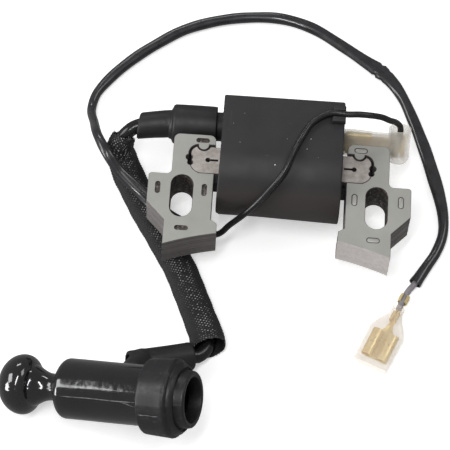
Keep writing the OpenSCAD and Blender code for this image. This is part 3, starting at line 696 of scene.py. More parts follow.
def make_sleeve():
    """Woven tube with real stitches in its outer face, ragged at both ends."""
    rng = random.Random(5)
    path = spline(SLEEVE_ROUTE, STITCH / SAMPLES)
    sides = STITCHES_ROUND * SAMPLES
    count = len(path)
    turn = np.arange(sides) * 2 * math.pi / sides
    s = travelled(path) / STITCH
    along, around = np.meshgrid(s, np.arange(sides) / SAMPLES, indexing="ij")
    stitch = np.abs(np.sin(math.pi * along) * np.sin(math.pi * (around + 0.5 * np.floor(along))))
    lumps = 0.05 * np.sin(0.9 * along + 2 * turn[None, :]) + 0.04 * np.sin(0.37 * along - 3 * turn[None, :])
    rise = 0.16 * (stitch - 0.8) + lumps * np.clip(along / 3, 0, 1)
    squashed = np.stack([np.sign(np.cos(turn)) * np.abs(np.cos(turn)) ** 0.88,
                         np.sign(np.sin(turn)) * np.abs(np.sin(turn)) ** 0.94], axis=1)
    outer = ring_points(path, path[:, 3] - 0.1, path[:, 4] - 0.1, squashed)
    centre = path[:, None, :3]
    outward = outer - centre
    outward /= np.linalg.norm(outward, axis=2)[:, :, None]
    outer = outer + rise[:, :, None] * outward
    inner = outer - (0.28 + 0.6 * np.clip(rise, 0, 1))[:, :, None] * outward
    heading, _, _ = axes_along(path)
    near_end = np.clip((travelled(path) - path_length(path) + MOUTH_LEN) / MOUTH_LEN, 0, 1) ** 2
    for i in np.nonzero(near_end)[0]:
        low = np.clip(path[i, 2] - outer[i][:, 2], -4, 4) / 4
        left = np.clip(path[i, 0] - outer[i][:, 0], -6, 6) / 6
        push = near_end[i] * (0.8 + 1.7 * low + 1.5 * left)[:, None] * heading[i]
        lift = near_end[i] * np.where(low < 0, 1.5, 0.0)[:, None] * Z
        outer[i] += push + lift
        inner[i] += push + lift
    ragged = [[rng.uniform(-0.12, 0.2) for _ in range(sides)] for _ in range(2)]
    for end, sign in ((0, -1), (1, 1)):
        for depth in range(4):
            i = depth if end == 0 else count - 1 - depth
            push = sign * np.array(ragged[end])[:, None] * (1 - depth / 4) * heading[i]
            outer[i] += push
            inner[i] += push
    rings = np.concatenate([outer, inner[::-1]])
    verts = rings.reshape(-1, 3)
    total = 2 * count
    column = np.concatenate([s, s[::-1]])
    uv = [(column[i], k / SAMPLES) for i in range(total) for k in range(sides)]
    obj = add_mesh("braided_sleeve_weave", verts, ring_faces(total, sides), BRAID, sharp=80, uv=uv)
    return obj, path, outer


def hair(start, direction, length, width, sag, rng):
    """One loose fibre as a thin tapered tube."""
    bend = unit([rng.uniform(-1, 1), rng.uniform(-1, 1), rng.uniform(-1, 1)])
    points = []
    for k in range(6):
        t = k / 5
        points.append(start + direction * length * t + bend * length * 0.35 * t * t - Z * sag * t * t)
    path = np.array(points)
    half = np.linspace(width, width * 0.4, len(path))
    return ring_points(path, half, half, circle(4)).reshape(-1, 3)


def make_fray(path, outer):
    """Loose yarn ends round both ends of the sleeve."""
    rng = random.Random(11)
    heading, _, _ = axes_along(path)
    verts, faces = [], []
    sides, lowest = outer.shape[1], -8.95
    for end, amount, longest in ((0, 40, 1.2), (-1, 26, 0.45)):
        way = -heading[0] if end == 0 else heading[-1]
        for _ in range(amount):
            k = rng.randrange(sides)
            start = outer[end][k] * 0.97 + path[end][:3] * 0.03
            out = unit(outer[end][k] - path[end][:3])
            direction = unit(way * rng.uniform(0.5, 1) + out * rng.uniform(-0.5, 0.45))
            points = hair(start, direction, rng.uniform(0.2, longest), rng.uniform(0.04, 0.08), 0.1, rng)
            points[:, 2] = np.maximum(points[:, 2], lowest)
            base = len(verts)
            verts += list(points)
            faces += [tuple(base + i for i in f) for f in skin(6, 4)]
    return add_mesh("braided_sleeve_fray", verts, faces, FIBRE, sharp=80)


KINK = np.array([32.0, 62.0])


def make_tubing():
    """Vinyl tubing: round where it lies free, pinched flat with a crease on top where it is pressed."""
    path = spline(TUBING_ROUTE, 1.0)
    sides = 32
    turn = (np.arange(sides) + 0.5) * 2 * math.pi / sides
    flatness = np.clip((path[:, 3] / path[:, 4] - 1) / 0.7, 0, 1)[:, None]
    s = travelled(path)[:, None]
    dent = flatness * 0.3 * np.exp(-(np.cos(turn) / 0.42) ** 2)[None, :]
    wander = 0.03 * np.sin(0.21 * s + turn[None, :]) + 0.02 * np.sin(0.5 * s - 2 * turn[None, :])
    from_end = s[-1, 0] - s
    flare = 0.12 * np.exp(-(from_end / 1.6) ** 2)
    kink = np.argmin(np.linalg.norm(path[:, :2] - KINK, axis=1))
    fold = 0.16 * np.exp(-((s - s[kink]) / 2.2) ** 2) * np.sin(2.2 * (s - s[kink]) + 2 * turn[None, :])
    radius = 1 + wander + flare + fold
    section = np.stack([radius * np.cos(turn)[None, :], radius * (1 - dent) * np.sin(turn)[None, :]], axis=2)
    outer = ring_points(path, path[:, 3] * 0.98, path[:, 4] * 0.98, section)
    inner = ring_points(path, path[:, 3] * 0.98 - 0.32, path[:, 4] * 0.98 - 0.32, section)
    lowest = -8.98
    outer[:, :, 2] = np.maximum(outer[:, :, 2], lowest)
    rings = np.concatenate([outer, inner[::-1]])
    return add_mesh("wire_tubing_vinyl", rings.reshape(-1, 3), ring_faces(len(rings), sides), VINYL, sharp=50)


lead, lead_path = make_lead()
sleeve, sleeve_path, sleeve_outer = make_sleeve()
fray = make_fray(sleeve_path, sleeve_outer)
wire, wire_path = make_stop_wire()
tubing = make_tubing()
fit_out(lead, COIL, "lead_jacket", "ht_lead")
fit_out(sleeve, COIL, "woven_braid", "braided_sleeve")
fit_out(fray, COIL, "woven_braid")
fit_out(wire, COIL, "wire_jacket", "stop_wire")
fit_out(tubing, COIL, "vinyl_tubing", "wire_tubing")


# ---- Laminated core -------------------------------------------------------------------------

SHEETS, CORE_T = 25, 12.5
SHEET_T = CORE_T / SHEETS


def outline_loops(node, z):
    """Closed outlines, in millimetres, of the flat face that the CAD node has at height z."""
    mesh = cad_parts[node].data
    index, points = {}, []

    def key(co):
        k = (round(co.x / MM, 3), round(co.y / MM, 3), round(co.z / MM, 3))
        if k not in index:
            index[k] = len(points)
            points.append(k)
        return index[k]

    used = {}
    for polygon in mesh.polygons:
        corners = [mesh.vertices[i].co for i in polygon.vertices]
        if all(abs(c.z / MM - z) < 1e-3 for c in corners):
            ids = [key(c) for c in corners]
            for a, b in zip(ids, ids[1:] + ids[:1]):
                used[(a, b)] = used.get((a, b), 0) + 1
    following = {a: b for a, b in used if (b, a) not in used}
    loops = []
    while following:
        start = next(iter(following))
        loop, at = [], start
        while at in following:
            loop.append(points[at][:2])
            at = following.pop(at)
        loops.append(np.array(loop))
    return loops


def area(loop):
    x, y = loop[:, 0], loop[:, 1]
    return 0.5 * float(np.sum(x * np.roll(y, -1) - np.roll(x, -1) * y))


def tidy_loop(loop, shortest=0.02):
    keep = [i for i in range(len(loop)) if np.linalg.norm(loop[i] - loop[i - 1]) > shortest]
    return loop[keep]


def grown(loop, amount):
    """The outline moved out of the metal by amount; holes run clockwise, so they close up."""
    before, after = loop - np.roll(loop, 1, axis=0), np.roll(loop, -1, axis=0) - loop
    n = []
    for d in (before, after):
        d = d / np.linalg.norm(d, axis=1)[:, None]
        n.append(np.stack([d[:, 1], -d[:, 0]], axis=1))
    m = n[0] + n[1]
    m = m / np.maximum(np.sum(m * n[0], axis=1), 0.5)[:, None]
    return loop + amount * m


def oblong(x, y, length, width, angle, sides=20):
    """Outline of a slot with round ends, clockwise."""
    straight = (length - width) / 2
    points = []
    for k in range(sides):
        a = -2 * math.pi * (k + 0.5) / sides
        px = math.cos(a) * width / 2 + math.copysign(straight, math.cos(a))
        py = math.sin(a) * width / 2
        c, s = math.cos(angle), math.sin(angle)
        points.append((x + c * px - s * py, y + s * px + c * py))
    return np.array(points)


def laminated(name, node, face, dimples, island, seed):
    """A stack of stamped sheets: the outline of the CAD node, one groove between sheets."""
    rng = random.Random(seed)
    loops = [tidy_loop(l) for l in outline_loops(node, 0.0)]
    outer = max(loops, key=lambda l: abs(area(l)))
    loops = [l if (area(l) > 0) == (l is outer) else l[::-1] for l in loops]
    outer = max(loops, key=area)
    verts, faces, slots = [], [], []

    def add_ring(loop, z):
        base = len(verts)
        verts.extend((x, y, z) for x, y in loop)
        return base

    levels = [(0.0, -0.1)]
    for i in range(SHEETS):
        step = rng.uniform(-0.035, 0.035)
        levels += [(i * SHEET_T + 0.12, step), ((i + 1) * SHEET_T - 0.12, step)]
        levels.append(((i + 1) * SHEET_T, -0.075))
    levels[-1] = (CORE_T, -0.12)
    ends = {0: [], 1: []}
    for loop in loops:
        wall = 1 if loop is outer else 2
        bases = [add_ring(grown(loop, amount), z) for z, amount in levels]
        count = len(loop)
        for a, b in zip(bases, bases[1:]):
            for k in range(count):
                n = (k + 1) % count
                faces.append((a + k, a + n, b + n, b + k))
                d = unit(loop[n] - loop[k])
                # Slot 3, the right leg's outer edge facing -y, gets the paler pole finish: painted light.
                # Inner outlines get the slot wall finish with its painted shade.
                slots.append(3 if wall == 1 and island and d[0] > 0.8 and loop[k][1] < -8 else wall)
        ends[0].append((bases[0], count))
        ends[1].append((bases[-1], count))
    top_holes = []
    for x, y, angle in dimples:
        width = 2.0 if island else 1.7
        rim = oblong(x, y, 4.4, width, angle)
        top = add_ring(rim, CORE_T)
        top_holes.append((top, len(rim)))
        inset = 0.18
        floor_z = CORE_T - (0.14 if island else 0.4)
        low = add_ring(oblong(x, y, 4.4 - 2 * inset, width - 2 * inset, angle), floor_z)
        rows = [top, low]
        if island:
            rows.append(add_ring(oblong(x, y, 4.4 - 4 * inset, width - 4 * inset, angle), CORE_T - 0.05))
        for a, b in zip(rows, rows[1:]):
            for k in range(len(rim)):
                n = (k + 1) % len(rim)
                faces.append((a + n, a + k, b + k, b + n))
                # On the left leg the dimple walls and floors take the slot wall finish, whose dark base is
                # painted shade.
                slots.append(1 if island else 2)
        faces.append(tuple(rows[-1] + k for k in reversed(range(len(rim)))))
        slots.append(0 if island else 2)
    for end, holes in ((0, []), (1, top_holes)):
        rings = ends[end] + holes
        ids = [b + k for b, c in rings for k in range(c)]
        polygons = [[Vector((*verts[b + k][:2], 0)) for k in range(c)] for b, c in rings]
        for tri in tessellate_polygon(polygons):
            t = [ids[i] for i in tri]
            p = [np.array(verts[i][:2]) for i in t]
            up = (p[1][0] - p[0][0]) * (p[2][1] - p[0][1]) - (p[1][1] - p[0][1]) * (p[2][0] - p[0][0])
            if abs(up) < 1e-9:
                continue
            faces.append(tuple(t) if (up > 0) == (end == 1) else tuple(reversed(t)))
            slots.append(0)
    return add_mesh(name, verts, faces, [face, EDGE, SLOT_WALL_SHADE, POLE_PAINTED_LIGHT], sharp=30, face_slots=slots)


SLOT_X = 31.0
LEG_DIMPLES = [(25.4, 20.3, 0.0), (SLOT_X - 7.1, 2.4, math.pi / 2), (SLOT_X + 7.7, 2.4, math.pi / 2),
               (SLOT_X - 0.7, -11.5, 0.0)]


def make_core():
    left = laminated("core_leg_left_sheets", "core_leg_left", FACE,
                     [(-x, y, a) for x, y, a in LEG_DIMPLES], False, 3)
    right = laminated("core_leg_right_sheets", "core_leg_right", FACE, LEG_DIMPLES, True, 4)
    bar = laminated("core_bar_sheets", "core_bar", BAR, [], False, 6)
    for obj, node in ((left, "core_leg_left"), (right, "core_leg_right"), (bar, "core_bar")):
        fit_out(obj, COIL, "lamination_steel", node)


make_core()


# ---- Coil housing ---------------------------------------------------------------------------

CASE_X, CASE_WALL, CASE_R = 19.4, 1.8, 14.2
BAR_Y, BAR_Z, CASE_TOP, CASE_BACK, RIM_Y = 13.3, 6.25, 33.5, -9.0, 5.5
CASE_FRONT = BAR_Z + CASE_R
TOWER_Y, TOWER_Z, TOWER_R = 29.2, 6.25, 4.7


def case_outline(inset, back):
    """The housing's end view, counterclockwise as (y, z)."""
    top, front, radius = CASE_TOP - inset, CASE_FRONT - inset, CASE_R - inset
    corner = max(0.7 - inset, 0.05)
    low = 180 + math.degrees(math.asin(math.sqrt(1 - ((BAR_Y - RIM_Y - inset) / radius) ** 2)))
    return [(top, back), *arc(top - corner, front - corner, corner, corner, 0, 90, 8),
            *arc(BAR_Y, BAR_Z, radius, radius, 90, low, 48), (RIM_Y + inset, back)]


def case_loft(name, rings, back_inset, material):
    """Lofts (x, inset) rings of the housing's outline along X."""
    verts = []
    for x, inset in rings:
        outline = case_outline(inset, CASE_BACK + inset * back_inset)
        right = (x + CASE_X) / (2 * CASE_X)
        for y, z in outline:
            low = min(max((BAR_Y - y) / CASE_R, 0), 1) if z > BAR_Z - 4 else 0
            verts.append((x - 0.6 * (1 - right) * low, y - 1.3 * right * low, z))
    return add_mesh(name, verts, skin(len(rings), len(outline)), material, sharp=32)


def make_housing():
    round_r = 0.55
    rings = arc(round_r - CASE_X, round_r, -round_r, -round_r, 0, 90, 4)
    rings = rings + [(x, 0) for x in (-9, 0, 9)] + [(-x, inset) for x, inset in rings[::-1]]
    shell = case_loft("housing_shell", rings, 1.0, HOUSING)
    inner = CASE_X - CASE_WALL
    boolean(shell, case_loft("pocket", [(-inner, CASE_WALL), (inner, CASE_WALL)], -1.0, HOUSING))
    boolean(shell, box_mesh("bar_hole", (-25, 8.3, -0.2), (25, 18.5, 12.7), HOUSING))
    boolean(shell, box_mesh("lug_hole", (-25, 6.7, 3.3), (25, 8.4, 9.7), HOUSING))
    shell.data.shade_smooth()
    shell.data.set_sharp_from_angle(angle=math.radians(32))
    fit_out(shell, COIL, "housing_plastic", "coil_housing")
    outline = [(-CASE_X + 0.6, TOWER_R + 0.5), (-CASE_X - 0.5, TOWER_R), (-29.6, TOWER_R),
               (-30, TOWER_R - 0.4), (-30, 2.45), (-26.1, 2.45), (-25.9, 1.05), (-CASE_X + 1, 1.05)]
    tower = turned("ht_tower", outline, HOUSING, lambda x, y, z: (x, TOWER_Y + y, TOWER_Z + z), 64, sharp=30)
    fit_out(tower, COIL, "housing_plastic")


def flared_rib(name, x0, x1, y0, y1, top, flare):
    """A small retaining rib; its left face spreads at the foot by flare."""
    foot = CASE_FRONT - 0.4
    corners = [
        (x0 - flare, y0 - 0.15, foot), (x1, y0 - 0.15, foot),
        (x1, y1 + 0.15, foot), (x0 - flare, y1 + 0.15, foot),
        (x0, y0, top), (x1 - 0.1, y0, top), (x1 - 0.1, y1, top), (x0, y1, top),
    ]
    faces = [(3, 2, 1, 0), (4, 5, 6, 7), (0, 1, 5, 4), (1, 2, 6, 5), (2, 3, 7, 6), (3, 0, 4, 7)]
    rib = add_mesh(name, corners, faces, HOUSING)
    bevel(rib, 0.4, 4)
    fit_out(rib, COIL, "housing_plastic")


def make_clip():
    flared_rib("wire_clip_upper", 15.6, 19.7, 29.25, 31.05, 22.3, 0.25)
    flared_rib("wire_clip_lower", 15.5, 19.7, 25.2, 27.05, 22.3, 0.6)


def case_front(y):
    """Height of the housing's front face at y."""
    return BAR_Z + (math.sqrt(max(CASE_R ** 2 - (BAR_Y - y) ** 2, 0)) if y < BAR_Y else CASE_R)


def make_flash():
    """Torn moulding flash along the housing's left edge, and a few bits of dust on its face."""
    rng = random.Random(21)
    verts, faces = [], []

    def grain(centre, size, flat):
        base = len(verts)
        for k in range(6):
            a = k * math.pi / 3 + rng.uniform(-0.3, 0.3)
            r = size * rng.uniform(0.55, 1)
            verts.append((centre[0] + r * math.cos(a), centre[1] + r * math.sin(a),
                          centre[2] + rng.uniform(-0.2, 0.2) * flat))
        verts.append((centre[0], centre[1], centre[2] + flat))
        verts.append((centre[0], centre[1], centre[2] - flat))
        for k in range(6):
            n = (k + 1) % 6
            faces.append((base + k, base + n, base + 6))
            faces.append((base + n, base + k, base + 7))

    for _ in range(150):
        y = rng.uniform(2, 33) if rng.random() < 0.4 else rng.uniform(7, 24)
        spot = (-CASE_X + rng.uniform(-0.08, 0.25), y, case_front(y) - rng.uniform(0.05, 0.7))
        grain(spot, rng.uniform(0.08, 0.24), 0.12)
    flash = add_mesh("housing_flash", verts, faces, HOUSING, smooth=False)
    fit_out(flash, COIL, "housing_plastic")
    verts.clear()
    faces.clear()
    for x, y, size in ((-2, 9.2, 0.34), (8.9, 19, 0.2), (7.8, 15.3, 0.2), (-12.6, 26.8, 0.12), (5, 6.2, 0.13),
                       (-13.5, 16.2, 0.12), (11.5, 12.5, 0.1), (1.4, 18.5, 0.1)):
        grain((x, y, case_front(y) + 0.02), size, 0.09)
    dust = add_mesh("surface_dust", verts, faces, DUST, smooth=False)
    fit_out(dust, COIL, "housing_plastic")


make_housing()
make_clip()
make_flash()


# ---- Boot over the lead's outlet --------------------------------------------------------------

BOOT_R, BOOT_SMALL_R = 6.45, 4.55


def make_boot():
    """Stepped rubber boot: a wide part on the tower and a narrower one that droops with the lead."""
    rows = []

    def row(x, y, z, a):
        rows.append((np.array([x, y, z], float), a))

    for x, radius in arc(-21.85, BOOT_R - 0.45, 0.45, 0.45, 0, 90, 5):
        row(x, TOWER_Y, TOWER_Z, radius)
    row(-27, TOWER_Y, TOWER_Z, BOOT_R + 0.02)
    row(-32, TOWER_Y, TOWER_Z, BOOT_R)
    for x, radius in arc(-34.6, BOOT_R - 1.3, -1.3, 1.3, 75, 0, 5):
        row(x, TOWER_Y, TOWER_Z, radius)
    for k in range(6):
        t = math.radians(90 * k / 5)
        row(-36 - 0.55 * math.sin(t), TOWER_Y - 0.02, TOWER_Z - 0.02,
            BOOT_SMALL_R + 0.6 * (1 - math.sin(t)))
    for x, y, z, a in ((-38.5, 29.05, 6.05, 4.56), (-41, 28.85, 5.8, 4.5), (-43.5, 28.6, 5.52, 4.46),
                       (-45.6, 28.36, 5.3, 4.42)):
        row(x, y, z, a)
    for k in range(1, 7):
        t = math.radians(90 * k / 6)
        row(-46.1 - 0.7 * math.sin(t), 28.3 - 0.07 * math.sin(t), 5.23 - 0.08 * math.sin(t),
            4.4 - 0.7 * (1 - math.cos(t)))
    row(-46.8, 28.22, 5.15, 2.45)
    row(-44, 28.5, 5.45, 2.42)
    row(-37, 29.1, 6.1, 2.42)
    row(-36.4, TOWER_Y, TOWER_Z, 3.1)
    row(-30.2, TOWER_Y, TOWER_Z, 3.1)
    row(-30.1, TOWER_Y, TOWER_Z, 4.75)
    row(-21.5, TOWER_Y, TOWER_Z, 4.75)
    row(-21.4, TOWER_Y, TOWER_Z, 5.6)
    sides = 72
    verts = []
    for centre, radius in rows:
        for k in range(sides):
            a = 2 * math.pi * k / sides
            dent = 0.05 * math.sin(2 * a + 0.2 * centre[0]) if radius > 4 else 0
            tilt = 0.1 if centre[0] < -36.3 else 0
            verts.append((centre[0] + tilt * radius * math.cos(a), centre[1] + (radius + dent) * math.cos(a),
                          centre[2] + (radius + dent) * math.sin(a)))
    boot = merge_doubles(add_mesh("ht_boot_rubber", verts, ring_faces(len(rows), sides), BOOT, sharp=48))
    fit_out(boot, COIL, "boot_rubber", "ht_boot")


make_boot()


# ---- Spark plug cap -----------------------------------------------------------------------------

CAP_R, SEAL_R, PLUG_R = 9.35, 12.15, 7.0
SEAM = math.radians(129)


def angle_from(a, centre):
    return (a - centre + math.pi) % (2 * math.pi) - math.pi


def cap_bump(x, r, a):
    """Mould parting line on both sides, and slight waviness of the moulding."""
    line = sum(math.exp(-(angle_from(a, c) * r / 0.5) ** 2) for c in (SEAM, SEAM - math.pi))
    wave = 0.035 * math.sin(2 * a + 0.11 * x) + 0.03 * math.sin(3 * a - 0.23 * x)
    return (0.14 * line + wave * min(1, r / 4)) if x < 60 else 0


def knob_outline():
    points = arc(7.7, 0, -7.7, 9.33, 0, 90, 24) + arc(7.7, 5.83, 3.9, 3.5, 80, 10, 7)
    points += [(12.2, 6.3), (13.2, 5.65), (14.2, 5.1), (15.2, 4.65), (16.4, 4.28), (17.6, 4.15), (18.7, 4.3),
               (19.6, 4.65), (20.3, 5.1)]
    return points


def make_cap_body():
    body = knob_outline() + arc(23.2, CAP_R - 3.4, -2.7, 3.4, 0, 90, 12)
    body += [(x, CAP_R) for x in range(24, 49, 2)]
    body += [(50, CAP_R), (59.2, CAP_R), (59.6, CAP_R - 0.4), (59.6, 7.3), (42, 7.3), (42, 4.6), (29, 4.6),
             (29, 0)]
    obj = turned("plug_cap_moulding", body, CAP_PLASTIC, on_cap, 144, cap_bump, sharp=34)
    fit_out(obj, CAP, "cap_phenolic", "plug_cap_body")


def seal_bump(x, r, a):
    """Waviness of the soft collar and a nick in its front edge."""
    wave = 0.05 * math.sin(3 * a + 0.3 * x) + 0.04 * math.sin(5 * a)
    nick = -0.25 * math.exp(-((x - 58.6) / 0.6) ** 2 - (angle_from(a, math.radians(105)) / 0.05) ** 2)
    line = 0.1 * math.exp(-(angle_from(a, SEAM) * r / 0.35) ** 2)
    return (wave * 0.6 + nick + line) if r > 8.5 else 0.0


def make_cap_seal():
    outline = [(49.5, 9.42), (49.5, 10.8)] + arc(50.3, 10.8, -0.8, 0.8, 0, 90, 6)
    outline += [(51.4, 11.68), (53.3, 11.8), (55.4, 11.92), (57.4, 12.04)]
    outline += arc(58.2, SEAL_R - 1.3, 1.3, 1.3, 90, 15, 8)
    outline += [(60.2, 11.0), (60.9, 10.4), (61.2, 10.05), (61.15, 9.75), (60.7, 9.6), (60.6, 9.35),
                (60.75, 9.1), (61.2, 8.95)]
    outline += arc(63.1, 8.05, 1.0, 0.7, 90, 0, 8)
    outline += [(64.1, 7.5), (63.9, PLUG_R + 0.1), (63.4, PLUG_R), (59.7, PLUG_R), (59.7, 9.42)]
    obj = turned("plug_cap_collar", outline + outline[:1], SEAL, on_cap, 144, seal_bump, sharp=40)
    fit_out(obj, CAP, "seal_rubber", "plug_cap_seal")


def tube_piece(name, centre_line, radii, material, sides=40, sharp=40):
    """A solid of round sections along a line; side vectors are carried along without twist."""
    p = np.array(centre_line, float)
    heading = np.gradient(p, axis=0)
    heading /= np.linalg.norm(heading, axis=1)[:, None]
    side = unit(np.cross(heading[0], Z if abs(heading[0] @ Z) < 0.9 else X))
    verts = []
    for i in range(len(p)):
        side = unit(side - (side @ heading[i]) * heading[i])
        over = np.cross(heading[i], side)
        for k in range(sides):
            a = 2 * math.pi * k / sides
            verts.append(p[i] + radii[i] * (math.cos(a) * side + math.sin(a) * over))
    return add_mesh(name, verts, skin(len(p), sides), material, sharp=sharp)


def remesh_smooth(obj, voxel, rounds):
    modifier = obj.modifiers.new("remesh", "REMESH")
    modifier.mode = "VOXEL"
    modifier.voxel_size = voxel * MM
    modifier.use_smooth_shade = True
    soften = obj.modifiers.new("soften", "SMOOTH")
    soften.factor = 0.5
    soften.iterations = rounds
    bake_modifiers(obj)
    obj.data.materials.clear()


def make_outlet_boot():
    """Rubber elbow from the cap's side outlet into the hood that takes the lead."""
    stem = [on_outlet(d) for d in (11.0, 13.0, 15.0, 17.0, ELBOW_AT)]
    elbow = tube_piece("plug_cap_elbow", stem, [4.62, 4.68, 4.68, 4.68, 4.68], BOOT)
    verts, faces = [], []
    rows, around = 18, 36
    for i in range(rows + 1):
        t = math.pi * i / rows
        for k in range(around):
            a = 2 * math.pi * k / around
            verts.append(on_outlet(ELBOW_AT) + 4.7 * np.array(
                [math.sin(t) * math.cos(a), math.sin(t) * math.sin(a), math.cos(t)]))
    ball = merge_doubles(add_mesh("ball", verts, skin(rows + 1, around, caps=(False, False)), BOOT))
    boolean(elbow, ball, "UNION")
    spots = (-HOOD_LIP + 0.1, -HOOD_LIP + 0.5, -3.4, 0.0, 5.0, 10.0, 14.5, HOOD_LEN - 0.5, HOOD_LEN)
    widths = (4.25, 4.5, 4.5, 4.48, 4.45, 4.42, 4.45, 4.5, 4.3)
    boolean(elbow, tube_piece("hood", [on_hood(d) for d in spots], widths, BOOT), "UNION")
    remesh_smooth(elbow, 0.32, 10)
    elbow.data.materials.append(BOOT)
    boolean(elbow, tube_piece("stem_bore", [on_outlet(10), on_outlet(12), on_outlet(15)], [3.65] * 3, BOOT))
    boolean(elbow, tube_piece("lead_bore", [on_hood(d) for d in (0, 8, HOOD_LEN + 2)], [2.4] * 3, BOOT))
    lip = [on_hood(d - HOOD_LIP) for d in (-2, -1, 1.2)]
    boolean(elbow, tube_piece("lip_bore", lip, [3.4] * 3, BOOT))
    elbow.data.shade_smooth()
    elbow.data.set_sharp_from_angle(angle=math.radians(50))
    fit_out(elbow, COIL, "boot_rubber", "plug_cap_outlet_boot")
    collar = [(0.0, 4.6), (0.0, 5.3), (9.6, 5.25), (10.3, 5.05), (10.6, 4.7), (10.6, 3.7),
              (15, 3.6), (15, 2.2), (8.5, 2.2)]
    side = np.cross(OUTLET, CAP_U)

    def on_stem(x, y, z):
        return on_outlet(x) + y * CAP_U + z * side

    stub = turned("plug_cap_outlet", collar, CAP_PLASTIC, on_stem, 64, sharp=34)
    fit_out(stub, CAP, "cap_phenolic")


def make_parting_lines():
    """Raised parting lines left by the moulds on the cap and on its collar."""
    lines = (
        ("cap_parting_line", 22.5, 49.3, CAP_R + 0.09, SEAM, SEAM, 0.15),
        ("cap_parting_scar", 43.5, 49.3, CAP_R, SEAM, SEAM + 0.16, 0.13),
        ("collar_parting_line", 50.6, 57.5, 11.72, SEAM + 0.26, SEAM + 0.26, 0.14),
    )
    for name, x0, x1, radius, a0, a1, half in lines:
        centre_line = []
        for t in np.linspace(0, 1, 24):
            a = a0 + (a1 - a0) * t + 0.006 * math.sin(11 * t)
            r = radius + (0.25 * t if name.startswith("collar") else 0)
            centre_line.append(on_cap(x0 + (x1 - x0) * t, r * math.cos(a), r * math.sin(a)))
        widths = [half * min(1, 6 * t + 0.2, 6 * (1 - t) + 0.2) for t in np.linspace(0, 1, 24)]
        # The lines take the pale parting line finish: painted highlight.
        fit_out(tube_piece(name, centre_line, widths, PARTING_HIGHLIGHT, 12), CAP,
                "seal_rubber" if name.startswith("collar") else "cap_phenolic")


make_cap_body()
make_cap_seal()
make_parting_lines()
make_outlet_boot()


# ---- Stop wire connectors ---------------------------------------------------------------------

def on_flag(x, y, z):
    c, s = math.cos(FLAG_TILT), math.sin(FLAG_TILT)
    return FLAG_POS + np.array([x, y * c - z * s, y * s + z * c])


def on_socket(x, y, z):
    return SOCKET_POS + x * SOCKET_U + y * SOCKET_V + z * Z


def shell_walls(outer, inner, sides):
    """Faces of an open tube from matching outer and inner rings."""
    count = len(outer)
    faces = skin(count, sides, caps=(False, False))
    offset = count * sides
    faces += [tuple(reversed([offset + i for i in f])) for f in skin(count, sides, caps=(False, False))]
    last = (count - 1) * sides
    for k in range(sides):
        n = (k + 1) % sides
        faces.append((k, offset + k, offset + n, n))
        faces.append((last + n, offset + last + n, offset + last + k, last + k))
    return faces


def shell_mesh(name, outer, inner, sides, material, sharp):
    """An open tube with a wall, from matching outer and inner rings."""
    points = [p for ring in outer + inner for p in ring]
    return add_mesh(name, points, shell_walls(outer, inner, sides), material, sharp=sharp)


def section(half_w, half_t, corner, sides):
    """Rounded rectangle with sides points at even angles, as (across, up)."""
    points = []
    for k in range(sides):
        a = 2 * math.pi * (k + 0.5) / sides
        c, s = math.cos(a), math.sin(a)
        power = 2 / max(corner, 0.05)
        points.append((half_w * math.copysign(abs(c) ** (2 / power), c),
                       half_t * math.copysign(abs(s) ** (2 / power), s)))
    return points


def make_flag_cover():
    """Soft cover of the flag terminal: a flat sleeve that runs into an upright barrel."""
    sides = 48
    outer, inner = [], []
    for i in range(19):
        x = 20.1 + i * (FLAG_X - 20.1) / 18
        t = i / 18
        half_w = 4.5 + 0.15 * math.sin(7 * t) - 0.5 * t
        half_t = 2.05 - 0.25 * math.sin(math.pi * t) + 0.5 * t ** 3
        for rows, wall in ((outer, 0.0), (inner, 0.55)):
            ring = []
            for y, z in section(half_t - wall, half_w - wall, 0.62, sides):
                fold = 0.9 * math.exp(-((z + 1.2 - 3.2 * (t - 0.35)) / 0.8) ** 2)
                fold *= math.exp(-((t - 0.65) / 0.25) ** 2)
                ring.append(on_flag(x, y - (fold if y > 0 else 0) * 0.6, z))
            rows.append(ring)
    arm = shell_mesh("flag_cover_arm", outer, inner, sides, MILKY, 50)
    outline = [(-5.6, 2.1), (-5.6, 2.75), (-4.9, 2.85), (-4.5, 3.3), (-3.8, 3.5), (0, 3.5), (4, 3.5),
               (5.6, 3.6), (6.15, 3.6), (6.4, 3.4), (6.4, 3.05), (6.0, 2.9), (3, 2.85),
               (-3.4, 2.85), (-4, 2.1)]

    def on_barrel(x, y, z):
        flat = 0.95 if z < 0 else 1
        return on_flag(FLAG_X + y * 1.02, z * flat, x)

    barrel = turned("flag_cover_barrel", outline + outline[:1], MILKY, on_barrel, 72,
                    lambda x, r, a: 0.06 * math.sin(3 * a + x) if r > 2.9 else 0, sharp=44)
    fit_out(arm, COIL, "milky_vinyl", "flag_cover")
    fit_out(barrel, COIL, "milky_vinyl")


